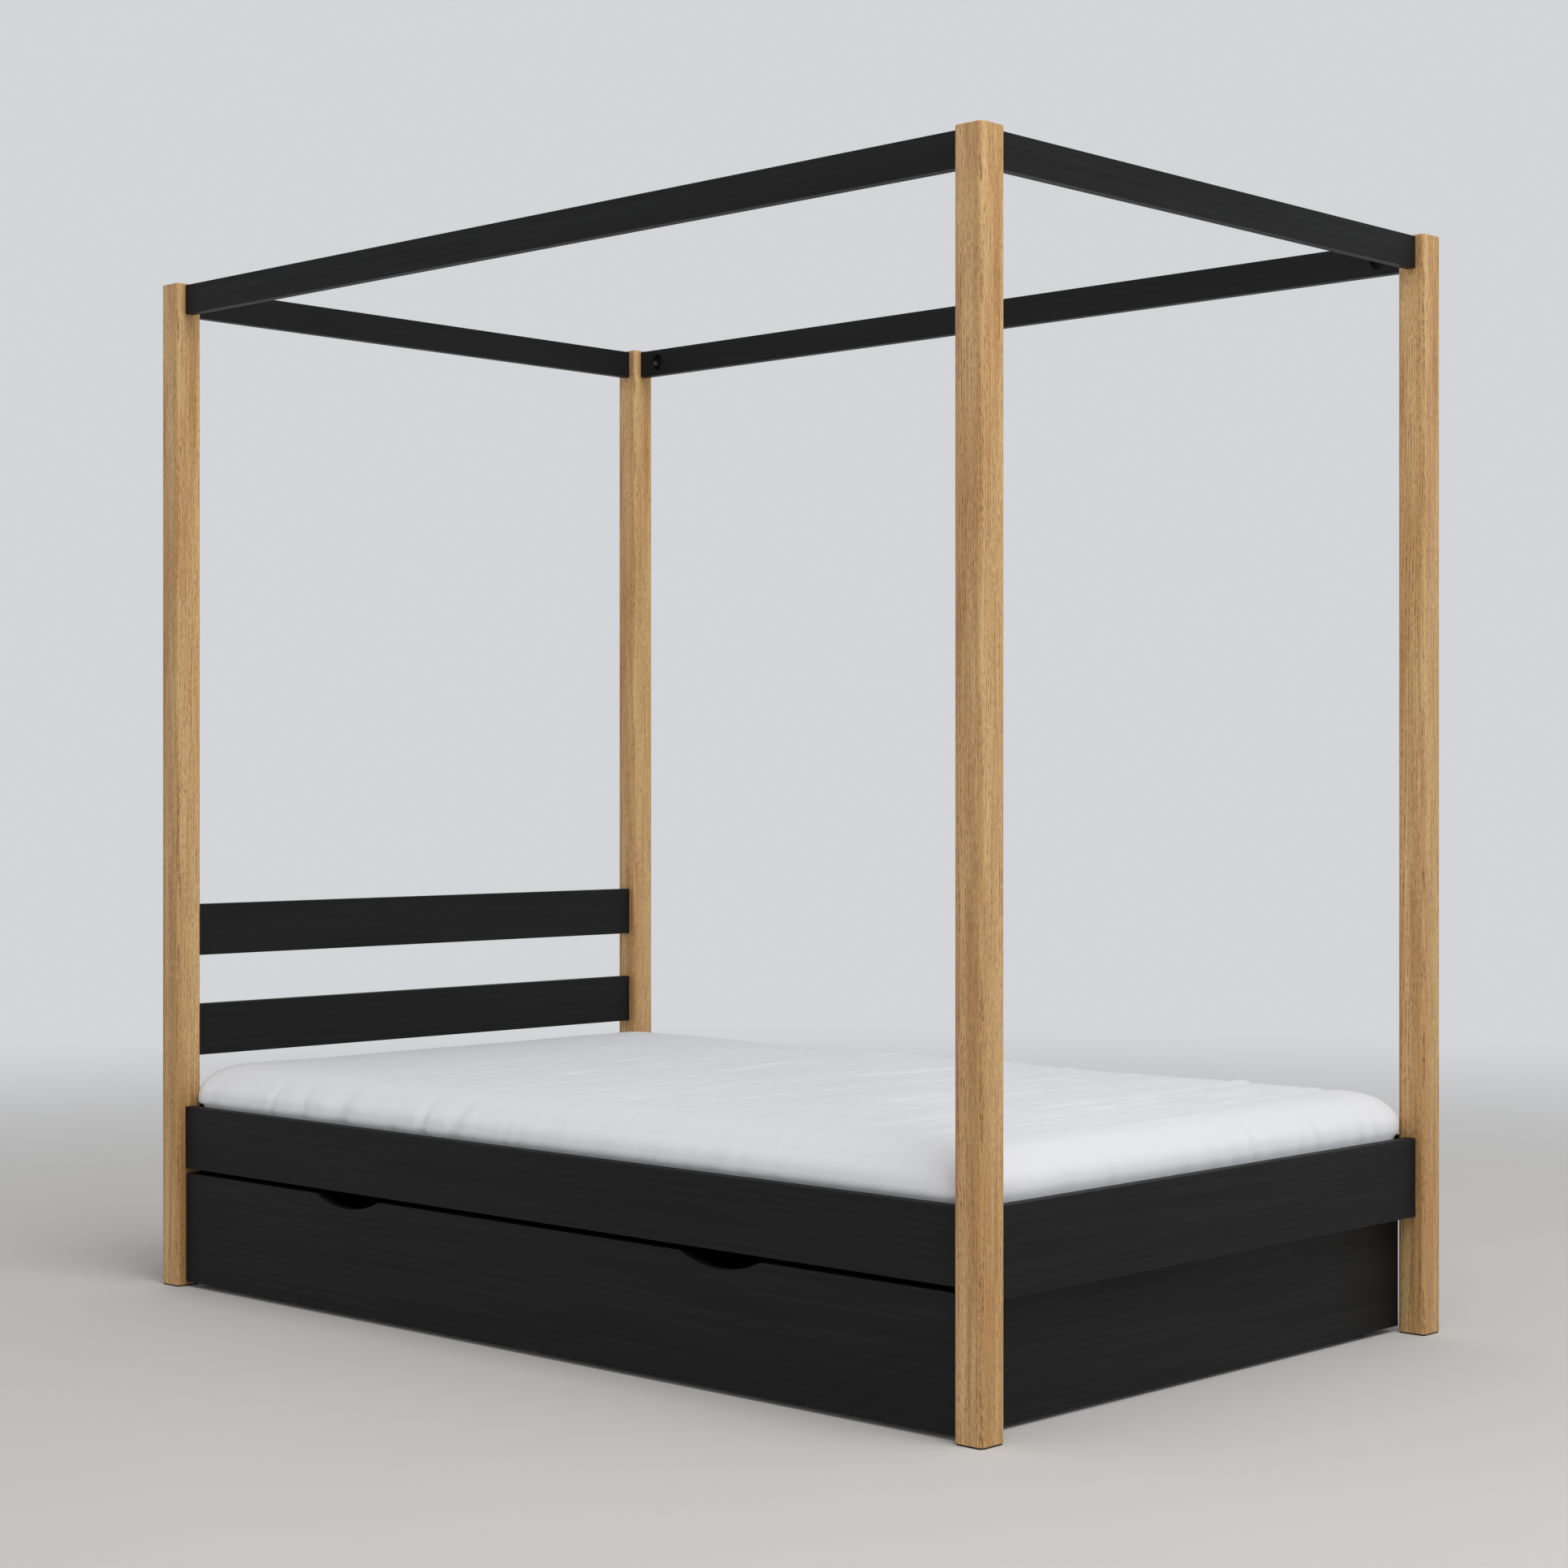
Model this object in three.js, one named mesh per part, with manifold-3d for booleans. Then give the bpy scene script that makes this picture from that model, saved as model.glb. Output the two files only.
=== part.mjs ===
// A four poster bed: square oak posts joined by painted rails at the top and at mattress
// height, two headboard boards, a slatted base, a mattress, and one full-length drawer
// that rolls out from under the near side on four small wheels.
//
// Units are millimetres. X runs from the head (-) to the foot (+) of the bed, Y runs from the
// near side (-), where the drawer opens, to the far side (+), and Z is up. The origin is on the
// floor, under the middle of the bed.
import * as THREE from 'three';
import { mergeVertices } from 'three/addons/utils/BufferGeometryUtils.js';
import Module from 'manifold-3d';

// Mattress, and the room that the rails leave round it
const MATTRESS_LENGTH = 2000;
const MATTRESS_WIDTH = 1200;
const MATTRESS_THICKNESS = 160;
const MATTRESS_CORNER_RADIUS = 78;
const MATTRESS_EDGE_RADIUS = 52;
const MATTRESS_END_CLEARANCE = 3;
const MATTRESS_SIDE_CLEARANCE = 2;

// Posts and the felt glides under them
const POST_SIDE = 55;
const POST_HEIGHT = 1951;
const POST_CORNER_RADIUS = 8;
const POST_END_ROUNDING = 2;
const GLIDE_THICKNESS = 2;
const GLIDE_INSET = 1.5;

// Painted rails and boards, all centred on the posts
const RAIL_THICKNESS = 20;
const RAIL_EDGE_RADIUS = 1.5;
const CANOPY_RAIL_HEIGHT = 57;
const CANOPY_RAIL_DROP = 3;
const BED_RAIL_TOP = 350;
const SIDE_RAIL_HEIGHT = 120;
const END_RAIL_HEIGHT = 140;
const HEADBOARD_HEIGHT = 100;
const HEADBOARD_SPACING = 96;

// Bolts that pull each side rail against its posts, reached from a round recess inside the rail.
// The end rails and the headboard are glued to their posts.
const BOLT_RADIUS = 4;
const BOLT_CLEARANCE = 0.5;
const BOLT_TAIL = 9;
const BOLT_DEPTH_IN_POST = 30;
const BOLT_END_ROOM = 1;
const RECESS_RADIUS = 17.5;
const RECESS_BEHIND_BOLT = 0.5;
const RECESS_SETBACK = 53;
const SIDE_BOLT_BELOW_TOP = 40;

// Slatted base
const LEDGER_WIDTH = 22;
const LEDGER_HEIGHT = 25;
const LEDGER_ABOVE_RAIL_BOTTOM = 2;
const LEDGER_EDGE_RADIUS = 2;
const SLAT_COUNT = 13;
const SLAT_WIDTH = 90;
const SLAT_THICKNESS = 12;
const SLAT_EDGE_RADIUS = 3;
const SLAT_END_ROOM = 4;
const SLAT_POST_ROOM = 5;
const WEBBING_WIDTH = 25;
const WEBBING_THICKNESS = 1;
const WEBBING_FROM_SLAT_END = 120;

// Drawer
const DRAWER_FLOOR_GAP = 10;
const DRAWER_TOP_GAP = 9.5;
const DRAWER_POST_GAP = 3;
const DRAWER_BACK_GAP = 6.5;
const DRAWER_FRONT_THICKNESS = 18;
const DRAWER_FRONT_ROUNDING = 1;
const DRAWER_WALL_THICKNESS = 15;
const DRAWER_WALL_EDGE_RADIUS = 1.5;
const DRAWER_SIDE_INSET = 2;
const DRAWER_DIVIDER_BELOW_TOP = 20;
const GRIP_WIDTH = 180;
const GRIP_DEPTH = 20;
const GRIP_FROM_CENTRE = 480;
const BOTTOM_THICKNESS = 6;
const BOTTOM_ABOVE_WHEELS = 6;
const GROOVE_DEPTH = 6;
const GROOVE_ROOM = 0.4;
const BEARER_WIDTH = 60;
const BEARER_ABOVE_EDGE = 5.8;

// Drawer wheels, each on a shouldered screw in the drawer side
const WHEEL_RADIUS = 20;
const WHEEL_WIDTH = 14;
const WHEEL_EDGE_ROUNDING = 2;
const WHEEL_FROM_END = 70;
const AXLE_RADIUS = 4;
const AXLE_RUNNING_CLEARANCE = 0.05;
const AXLE_HEAD_RADIUS = 8;
const AXLE_HEAD_THICKNESS = 3;
const AXLE_THREAD_RADIUS = 2.5;
const AXLE_THREAD_LENGTH = 10;
const WHEEL_SIDE_ROOM = 1;

// Seams between pieces that touch, and how finely round shapes are divided
const SEAM = 0.2;
const CORNER_STEPS = 4;
const EASED_EDGE_STEPS = 2;
const ROUND_STEPS = 24;
const HOLE_STEPS = 12;
const RECESS_STEPS = 24;
const GRIP_STEPS = 14;
const MATTRESS_STEPS = 6;

// Places worked out from the sizes above
const innerHalfLength = MATTRESS_LENGTH / 2 + MATTRESS_END_CLEARANCE;
const innerHalfWidth = MATTRESS_WIDTH / 2 + MATTRESS_SIDE_CLEARANCE;
const postX = innerHalfLength + RAIL_THICKNESS / 2;
const postY = innerHalfWidth + RAIL_THICKNESS / 2;
const postInnerX = postX - POST_SIDE / 2;
const postInnerY = postY - POST_SIDE / 2;
const postTop = GLIDE_THICKNESS + POST_HEIGHT;
const canopyRailZ = postTop - CANOPY_RAIL_DROP - CANOPY_RAIL_HEIGHT / 2;
const sideRailZ = BED_RAIL_TOP - SIDE_RAIL_HEIGHT / 2;
const endRailZ = BED_RAIL_TOP - END_RAIL_HEIGHT / 2;
const sideRailBottom = BED_RAIL_TOP - SIDE_RAIL_HEIGHT;
const ledgerTop = sideRailBottom + LEDGER_ABOVE_RAIL_BOTTOM + LEDGER_HEIGHT;
const slatTop = ledgerTop + SEAM + SLAT_THICKNESS;
const slatHalfLength = innerHalfWidth - SLAT_END_ROOM;
const webbingTop = slatTop + SEAM + WEBBING_THICKNESS;
const mattressBottom = webbingTop + SEAM;

const drawerTop = sideRailBottom - DRAWER_TOP_GAP;
const drawerHeight = drawerTop - DRAWER_FLOOR_GAP;
const drawerZ = DRAWER_FLOOR_GAP + drawerHeight / 2;
const drawerHalfLength = postInnerX - DRAWER_POST_GAP;
const drawerFrontY = -(postY + RAIL_THICKNESS / 2);
const drawerFrontBackY = drawerFrontY + DRAWER_FRONT_THICKNESS;
const drawerEndY = innerHalfWidth - DRAWER_BACK_GAP;
const drawerBackInnerY = drawerEndY - DRAWER_WALL_THICKNESS;
const drawerSideOuterX = drawerHalfLength - DRAWER_SIDE_INSET;
const drawerSideInnerX = drawerSideOuterX - DRAWER_WALL_THICKNESS;
const bottomUnderside = 2 * WHEEL_RADIUS + BOTTOM_ABOVE_WHEELS;
const bottomTop = bottomUnderside + BOTTOM_THICKNESS;

const wasm = await Module();
wasm.setup();

// ---- Finishes ----

function finish(color, roughness, metalness = 0) {
  return new THREE.MeshStandardMaterial({ color, roughness, metalness });
}

const oiledOak = () => finish(0xc59d6d, 0.55);
const blackPaint = () => finish(0x1d1e20, 0.5);
const darkFelt = () => finish(0x2b2622, 0.95);
const pineSlat = () => finish(0xd8bb8c, 0.7);
const greyWebbing = () => finish(0x8d8f90, 0.9);
const whiteCotton = () => finish(0xe6e7ea, 0.9);
const zincSteel = () => finish(0xa9abad, 0.35, 1);
const greyNylon = () => finish(0x4a4b4d, 0.45);

// ---- Solids that are cut ----

// A closed geometry with its shared corners joined, as a solid that can be cut.
function toSolid(geometry) {
  const bare = geometry.clone();
  bare.deleteAttribute('normal');
  bare.deleteAttribute('uv');
  const merged = mergeVertices(bare);
  const vertProperties = new Float32Array(merged.attributes.position.array);
  const triVerts = new Uint32Array(merged.index.array);
  return new wasm.Manifold(new wasm.Mesh({ numProp: 3, vertProperties, triVerts }));
}

// The surface of a solid as a geometry.
function toGeometry(solid) {
  const mesh = solid.getMesh();
  const geometry = new THREE.BufferGeometry();
  geometry.setAttribute('position', new THREE.BufferAttribute(new Float32Array(mesh.vertProperties), 3));
  geometry.setIndex(new THREE.BufferAttribute(new Uint32Array(mesh.triVerts), 1));
  geometry.computeVertexNormals();
  return geometry;
}

// A geometry with each of the tools taken out of it.
function cut(geometry, tools) {
  let solid = toSolid(geometry);
  for (const tool of tools) {
    solid = solid.subtract(toSolid(tool));
  }
  return toGeometry(solid);
}

// ---- Shapes ----

// A rectangle about the origin with round corners.
function roundedRectangle(width, height, radius) {
  const x = width / 2;
  const y = height / 2;
  const quarter = Math.PI / 2;
  const shape = new THREE.Shape();
  shape.moveTo(-x + radius, -y);
  shape.absarc(x - radius, -y + radius, radius, -quarter, 0, false);
  shape.absarc(x - radius, y - radius, radius, 0, quarter, false);
  shape.absarc(-x + radius, y - radius, radius, quarter, 2 * quarter, false);
  shape.absarc(-x + radius, -y + radius, radius, 2 * quarter, 3 * quarter, false);
  return shape;
}

// An upright block of the given outline whose top and bottom edges are rounded over.
function roundedBlock(outline, height, rounding, steps) {
  const geometry = new THREE.ExtrudeGeometry(outline, {
    depth: height - 2 * rounding,
    curveSegments: steps,
    bevelEnabled: true,
    bevelThickness: rounding,
    bevelSize: rounding,
    bevelOffset: -rounding,
    bevelSegments: steps / 2,
  });
  return geometry.translate(0, 0, rounding);
}

// A board along X about the origin, thickness along Y and height along Z, long edges eased.
function board(length, thickness, height, edgeRadius) {
  const geometry = new THREE.ExtrudeGeometry(roundedRectangle(thickness, height, edgeRadius), {
    depth: length,
    curveSegments: EASED_EDGE_STEPS,
    bevelEnabled: false,
  });
  geometry.translate(0, 0, -length / 2);
  const turn = new THREE.Matrix4().makeBasis(
    new THREE.Vector3(0, 1, 0),
    new THREE.Vector3(0, 0, 1),
    new THREE.Vector3(1, 0, 0),
  );
  return geometry.applyMatrix4(turn);
}

// A round rod about the origin with its axis along X.
function rodAlongX(radius, length, steps = HOLE_STEPS) {
  return new THREE.CylinderGeometry(radius, radius, length, steps).rotateZ(Math.PI / 2);
}

// A round rod about the origin with its axis along Y.
function rodAlongY(radius, length, steps = HOLE_STEPS) {
  return new THREE.CylinderGeometry(radius, radius, length, steps);
}

// ---- The scene graph ----

const bed = new THREE.Group();

// Adds one named piece, turned about the vertical and set in place.
function place(name, geometry, material, x = 0, y = 0, z = 0, turn = 0) {
  const mesh = new THREE.Mesh(geometry, material);
  mesh.name = name;
  mesh.position.set(x, y, z);
  mesh.rotation.z = turn;
  bed.add(mesh);
  return mesh;
}

// The four corners of the bed: which end and side each is, and their signs along X and Y.
const corners = [];
for (const [end, signX] of [['head', -1], ['foot', 1]]) {
  for (const [side, signY] of [['near', -1], ['far', 1]]) {
    corners.push({ name: `${end}_${side}`, end, side, signX, signY });
  }
}

// ---- Posts ----

// The heights of the two bolts in each post.
const sideBoltZ = BED_RAIL_TOP - SIDE_BOLT_BELOW_TOP;
const boltSites = [
  { rail: 'side', z: sideBoltZ },
  { rail: 'canopy', z: canopyRailZ },
];

// The blind holes in one post for the bolts of the side rails that meet it.
function postBoltHoles(corner) {
  const inward = -corner.signX * POST_SIDE / 2;
  const radius = BOLT_RADIUS + BOLT_CLEARANCE;
  return boltSites.map((site) => rodAlongX(radius, 2 * BOLT_DEPTH_IN_POST).translate(inward, 0, site.z));
}

function post(corner) {
  const outline = roundedRectangle(POST_SIDE, POST_SIDE, POST_CORNER_RADIUS);
  const blank = roundedBlock(outline, POST_HEIGHT - SEAM, POST_END_ROUNDING, CORNER_STEPS);
  blank.translate(0, 0, GLIDE_THICKNESS + SEAM);
  const geometry = cut(blank, postBoltHoles(corner));
  return place(`post_${corner.name}`, geometry, oiledOak(), corner.signX * postX, corner.signY * postY);
}

function glide(corner) {
  const side = POST_SIDE - 2 * GLIDE_INSET;
  const outline = roundedRectangle(side, side, POST_CORNER_RADIUS - GLIDE_INSET);
  const geometry = new THREE.ExtrudeGeometry(outline, {
    depth: GLIDE_THICKNESS,
    curveSegments: CORNER_STEPS,
    bevelEnabled: false,
  });
  return place(`glide_${corner.name}`, geometry, darkFelt(), corner.signX * postX, corner.signY * postY);
}

for (const corner of corners) {
  post(corner);
  glide(corner);
}

// ---- Rails and headboard ----

// The recess and the lengthways hole at both ends of a rail whose inner face points to +Y.
function railBoltCuts(length, boltZ) {
  const recessY = RAIL_THICKNESS / 2;
  const recessDepth = recessY + BOLT_RADIUS + BOLT_CLEARANCE + RECESS_BEHIND_BOLT;
  const tools = [];
  for (const sign of [-1, 1]) {
    const recessX = sign * (length / 2 - RECESS_SETBACK);
    const holeX = sign * (length / 2 - RECESS_SETBACK / 2);
    const recess = rodAlongY(RECESS_RADIUS, 2 * recessDepth, RECESS_STEPS);
    const hole = rodAlongX(BOLT_RADIUS + BOLT_CLEARANCE, RECESS_SETBACK + 2 * BOLT_END_ROOM);
    tools.push(recess.translate(recessX, recessY, boltZ));
    tools.push(hole.translate(holeX, 0, boltZ));
  }
  return tools;
}

// A rail along one side of the bed, with its bolt recesses on the inner face.
function sideRail(name, height, boltZ, site, z) {
  const length = sideSpan - 2 * SEAM;
  const blank = board(length, RAIL_THICKNESS, height, RAIL_EDGE_RADIUS);
  const geometry = cut(blank, railBoltCuts(length, boltZ - z));
  return place(name, geometry, blackPaint(), 0, site.y, z, site.turn);
}

// A plain board between the two posts at one end of the bed.
function endBoard(name, height, x, z) {
  const geometry = board(endSpan - 2 * SEAM, RAIL_THICKNESS, height, RAIL_EDGE_RADIUS);
  return place(name, geometry, blackPaint(), x, 0, z, quarterTurn);
}

const sideSpan = 2 * postInnerX;
const endSpan = 2 * postInnerY;
const quarterTurn = Math.PI / 2;
const sideSites = [
  { side: 'near', y: -postY, turn: 0 },
  { side: 'far', y: postY, turn: 2 * quarterTurn },
];
const endSites = [
  { end: 'head', x: -postX },
  { end: 'foot', x: postX },
];

for (const site of sideSites) {
  sideRail(`canopy_rail_${site.side}`, CANOPY_RAIL_HEIGHT, canopyRailZ, site, canopyRailZ);
  sideRail(`side_rail_${site.side}`, SIDE_RAIL_HEIGHT, sideBoltZ, site, sideRailZ);
}

for (const site of endSites) {
  endBoard(`canopy_rail_${site.end}`, CANOPY_RAIL_HEIGHT, site.x, canopyRailZ);
  endBoard(`${site.end}_rail`, END_RAIL_HEIGHT, site.x, endRailZ);
}

// The two plain boards of the headboard, evenly spaced above the head rail.
['lower', 'upper'].forEach((level, index) => {
  const bottom = BED_RAIL_TOP + HEADBOARD_SPACING + index * (HEADBOARD_HEIGHT + HEADBOARD_SPACING);
  endBoard(`headboard_${level}`, HEADBOARD_HEIGHT, -postX, bottom + HEADBOARD_HEIGHT / 2);
});

// ---- Bolts of the side rails ----

// From the blind hole in the post, through the rail end, to its tail in the recess.
const boltLength = BOLT_DEPTH_IN_POST - BOLT_END_ROOM + RECESS_SETBACK - RECESS_RADIUS + BOLT_TAIL;
const boltReach = BOLT_DEPTH_IN_POST - BOLT_END_ROOM - boltLength / 2;

for (const corner of corners) {
  const x = corner.signX * (postInnerX + boltReach);
  const y = corner.signY * postY;
  for (const site of boltSites) {
    const bolt = rodAlongX(BOLT_RADIUS, boltLength);
    place(`bolt_${site.rail}_rail_${corner.name}`, bolt, zincSteel(), x, y, site.z);
  }
}

// ---- Slatted base ----

// The bearer of the slat ends along one side rail.
function ledger(side, signY) {
  const geometry = board(sideSpan - 2 * SEAM, LEDGER_WIDTH, LEDGER_HEIGHT, LEDGER_EDGE_RADIUS);
  const y = signY * (innerHalfWidth - SEAM - LEDGER_WIDTH / 2);
  place(`slat_ledger_${side}`, geometry, blackPaint(), 0, y, ledgerTop - LEDGER_HEIGHT / 2);
}

// The tape that joins the slats near one side.
function webbing(side, signY) {
  const geometry = new THREE.BoxGeometry(2 * (postInnerX - SLAT_POST_ROOM), WEBBING_WIDTH, WEBBING_THICKNESS);
  const y = signY * (slatHalfLength - WEBBING_FROM_SLAT_END);
  place(`slat_webbing_${side}`, geometry, greyWebbing(), 0, y, webbingTop - WEBBING_THICKNESS / 2);
}

for (const [side, signY] of [['near', -1], ['far', 1]]) {
  ledger(side, signY);
  webbing(side, signY);
}

const slatReach = postInnerX - SLAT_POST_ROOM - SLAT_WIDTH / 2;
for (let index = 0; index < SLAT_COUNT; index += 1) {
  const geometry = board(2 * slatHalfLength, SLAT_WIDTH, SLAT_THICKNESS, SLAT_EDGE_RADIUS);
  const x = -slatReach + (2 * slatReach * index) / (SLAT_COUNT - 1);
  const name = `slat_${String(index + 1).padStart(2, '0')}`;
  place(name, geometry, pineSlat(), x, 0, slatTop - SLAT_THICKNESS / 2, quarterTurn);
}

// ---- Mattress ----

const mattressOutline = roundedRectangle(MATTRESS_LENGTH, MATTRESS_WIDTH, MATTRESS_CORNER_RADIUS);
const mattressBlock = roundedBlock(mattressOutline, MATTRESS_THICKNESS, MATTRESS_EDGE_RADIUS, MATTRESS_STEPS);
place('mattress', mattressBlock, whiteCotton(), 0, 0, mattressBottom);

// ---- Drawer ----

// The front's outline, seen from in front, with a shallow hand grip dipping from its top edge
// on each side of the middle. The grip is an arc through its two ends and its lowest point.
function drawerFrontOutline() {
  const x = drawerHalfLength - DRAWER_FRONT_ROUNDING;
  const z = drawerHeight / 2 - DRAWER_FRONT_ROUNDING;
  const half = GRIP_WIDTH / 2;
  const radius = (half * half + GRIP_DEPTH * GRIP_DEPTH) / (2 * GRIP_DEPTH);
  const spread = Math.asin(half / radius);
  const shape = new THREE.Shape();
  shape.moveTo(-x, -z);
  shape.lineTo(x, -z);
  shape.lineTo(x, z);
  for (const centre of [GRIP_FROM_CENTRE, -GRIP_FROM_CENTRE]) {
    for (let step = 0; step <= GRIP_STEPS; step += 1) {
      const angle = spread - (2 * spread * step) / GRIP_STEPS;
      const rise = radius * (1 - Math.cos(angle));
      shape.lineTo(centre + radius * Math.sin(angle), z - GRIP_DEPTH + rise);
    }
  }
  shape.lineTo(-x, z);
  return shape;
}

// The space of the bottom panels, with a little room all round, for cutting their groove.
function bottomGrooveTool() {
  const reachX = drawerSideInnerX + GROOVE_DEPTH;
  const lowY = drawerFrontBackY - GROOVE_DEPTH;
  const highY = drawerBackInnerY + GROOVE_DEPTH;
  const height = BOTTOM_THICKNESS + GROOVE_ROOM;
  const tool = new THREE.BoxGeometry(2 * reachX, highY - lowY, height);
  return tool.translate(0, (lowY + highY) / 2, bottomUnderside + BOTTOM_THICKNESS / 2);
}

function drawerFront() {
  const blank = new THREE.ExtrudeGeometry(drawerFrontOutline(), {
    depth: DRAWER_FRONT_THICKNESS - 2 * DRAWER_FRONT_ROUNDING,
    bevelEnabled: true,
    bevelThickness: DRAWER_FRONT_ROUNDING,
    bevelSize: DRAWER_FRONT_ROUNDING,
    bevelSegments: 1,
  });
  blank.rotateX(Math.PI / 2);
  blank.translate(0, drawerFrontBackY - DRAWER_FRONT_ROUNDING, drawerZ);
  place('drawer_front', cut(blank, [bottomGrooveTool()]), blackPaint());
}

function drawerBack() {
  const length = 2 * (drawerSideInnerX - SEAM);
  const blank = board(length, DRAWER_WALL_THICKNESS, drawerHeight, DRAWER_WALL_EDGE_RADIUS);
  blank.translate(0, drawerEndY - DRAWER_WALL_THICKNESS / 2, drawerZ);
  place('drawer_back', cut(blank, [bottomGrooveTool()]), blackPaint());
}

// The two Y places of the wheel axles, near the front and near the back of the drawer.
const wheelSites = [
  ['front', drawerFrontBackY + WHEEL_FROM_END],
  ['back', drawerBackInnerY - WHEEL_FROM_END],
];

// One side panel, grooved for the bottom and drilled for its two axles.
function drawerSide(end, signX) {
  const length = drawerEndY - drawerFrontBackY - SEAM;
  const blank = board(length, DRAWER_WALL_THICKNESS, drawerHeight, DRAWER_WALL_EDGE_RADIUS);
  blank.rotateZ(Math.PI / 2);
  const x = signX * (drawerSideOuterX - DRAWER_WALL_THICKNESS / 2);
  blank.translate(x, drawerEndY - length / 2, drawerZ);
  const tools = [bottomGrooveTool()];
  for (const [, wheelY] of wheelSites) {
    const hole = rodAlongX(AXLE_THREAD_RADIUS + SEAM, 2 * (AXLE_THREAD_LENGTH + BOLT_END_ROOM));
    tools.push(hole.translate(signX * drawerSideInnerX, wheelY, WHEEL_RADIUS));
  }
  place(`drawer_side_${end}`, cut(blank, tools), blackPaint());
}

// One half of the bottom, let into the groove on three sides and meeting the other half at the middle.
function drawerBottom(end, signX) {
  const reachX = drawerSideInnerX + GROOVE_DEPTH - GROOVE_ROOM;
  const lowY = drawerFrontBackY - GROOVE_DEPTH + GROOVE_ROOM;
  const highY = drawerBackInnerY + GROOVE_DEPTH - GROOVE_ROOM;
  const geometry = new THREE.BoxGeometry(reachX - SEAM, highY - lowY, BOTTOM_THICKNESS);
  const x = (signX * (reachX + SEAM)) / 2;
  const z = bottomUnderside + BOTTOM_THICKNESS / 2;
  place(`drawer_bottom_${end}`, geometry, blackPaint(), x, (lowY + highY) / 2, z);
}

const drawerInnerDepth = drawerBackInnerY - drawerFrontBackY - 2 * SEAM;
const drawerInnerY = (drawerBackInnerY + drawerFrontBackY) / 2;

// The upright panel across the middle of the drawer.
function drawerDivider() {
  const bottom = bottomTop + SEAM;
  const height = drawerTop - DRAWER_DIVIDER_BELOW_TOP - bottom;
  const geometry = board(drawerInnerDepth, DRAWER_WALL_THICKNESS, height, DRAWER_WALL_EDGE_RADIUS);
  place('drawer_divider', geometry, blackPaint(), 0, drawerInnerY, bottom + height / 2, quarterTurn);
}

// The batten under the joint between the two bottom panels.
function drawerBearer() {
  const bottom = DRAWER_FLOOR_GAP + BEARER_ABOVE_EDGE;
  const height = bottomUnderside - SEAM - bottom;
  const geometry = board(drawerInnerDepth, BEARER_WIDTH, height, LEDGER_EDGE_RADIUS);
  place('drawer_bearer', geometry, pineSlat(), 0, drawerInnerY, bottom + height / 2, quarterTurn);
}

drawerFront();
drawerBack();
drawerDivider();
drawerBearer();
for (const [end, signX] of [['head', -1], ['foot', 1]]) {
  drawerSide(end, signX);
  drawerBottom(end, signX);
}

// ---- Drawer wheels ----

// Turns a profile of [radius, distance along the axis] pairs into a round solid along X,
// whose distances run towards -X, with one of its ridges straight down.
function turned(profile) {
  const points = profile.map(([radius, along]) => new THREE.Vector2(radius, along));
  const geometry = new THREE.LatheGeometry(points, ROUND_STEPS);
  return geometry.rotateZ(Math.PI / 2);
}

// A wheel about its own middle, with a bore that clears the axle's shoulder.
function wheelGeometry() {
  const half = WHEEL_WIDTH / 2;
  const bore = (AXLE_RADIUS + AXLE_RUNNING_CLEARANCE) / Math.cos(Math.PI / ROUND_STEPS);
  const shoulder = WHEEL_RADIUS - WHEEL_EDGE_ROUNDING;
  return turned([
    [bore, -half],
    [shoulder, -half],
    [WHEEL_RADIUS, -half + WHEEL_EDGE_ROUNDING],
    [WHEEL_RADIUS, half - WHEEL_EDGE_ROUNDING],
    [shoulder, half],
    [bore, half],
    [bore, -half],
  ]);
}

// A shouldered screw: thread in the drawer side from 0 outwards, shoulder and head inwards.
function axleGeometry() {
  const shoulder = WHEEL_WIDTH + 2 * WHEEL_SIDE_ROOM;
  const end = shoulder + AXLE_HEAD_THICKNESS;
  return turned([
    [0, -AXLE_THREAD_LENGTH],
    [AXLE_THREAD_RADIUS, -AXLE_THREAD_LENGTH],
    [AXLE_THREAD_RADIUS, SEAM],
    [AXLE_RADIUS, SEAM],
    [AXLE_RADIUS, shoulder],
    [AXLE_HEAD_RADIUS, shoulder],
    [AXLE_HEAD_RADIUS, end],
    [0, end],
  ]);
}

for (const [end, signX] of [['head', -1], ['foot', 1]]) {
  const facing = signX > 0 ? 0 : Math.PI;
  for (const [row, wheelY] of wheelSites) {
    const wheelX = signX * (drawerSideInnerX - WHEEL_SIDE_ROOM - WHEEL_WIDTH / 2);
    const axleX = signX * drawerSideInnerX;
    place(`drawer_wheel_${end}_${row}`, wheelGeometry(), greyNylon(), wheelX, wheelY, WHEEL_RADIUS);
    place(`wheel_axle_${end}_${row}`, axleGeometry(), zincSteel(), axleX, wheelY, WHEEL_RADIUS, facing);
  }
}

export default bed;
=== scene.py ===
"""The looks of a four poster bed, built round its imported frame.

Lengths are metres. X runs from the head of the bed to its foot, Y from the side where the drawer
opens to the far side, and Z up from the floor.
"""

import logging
import math
from abc import ABC, abstractmethod
from collections.abc import Iterable, Sequence
from dataclasses import dataclass, field
from enum import Enum

import bmesh
import bpy
import numpy as np
from mathutils import Matrix, Vector


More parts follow.
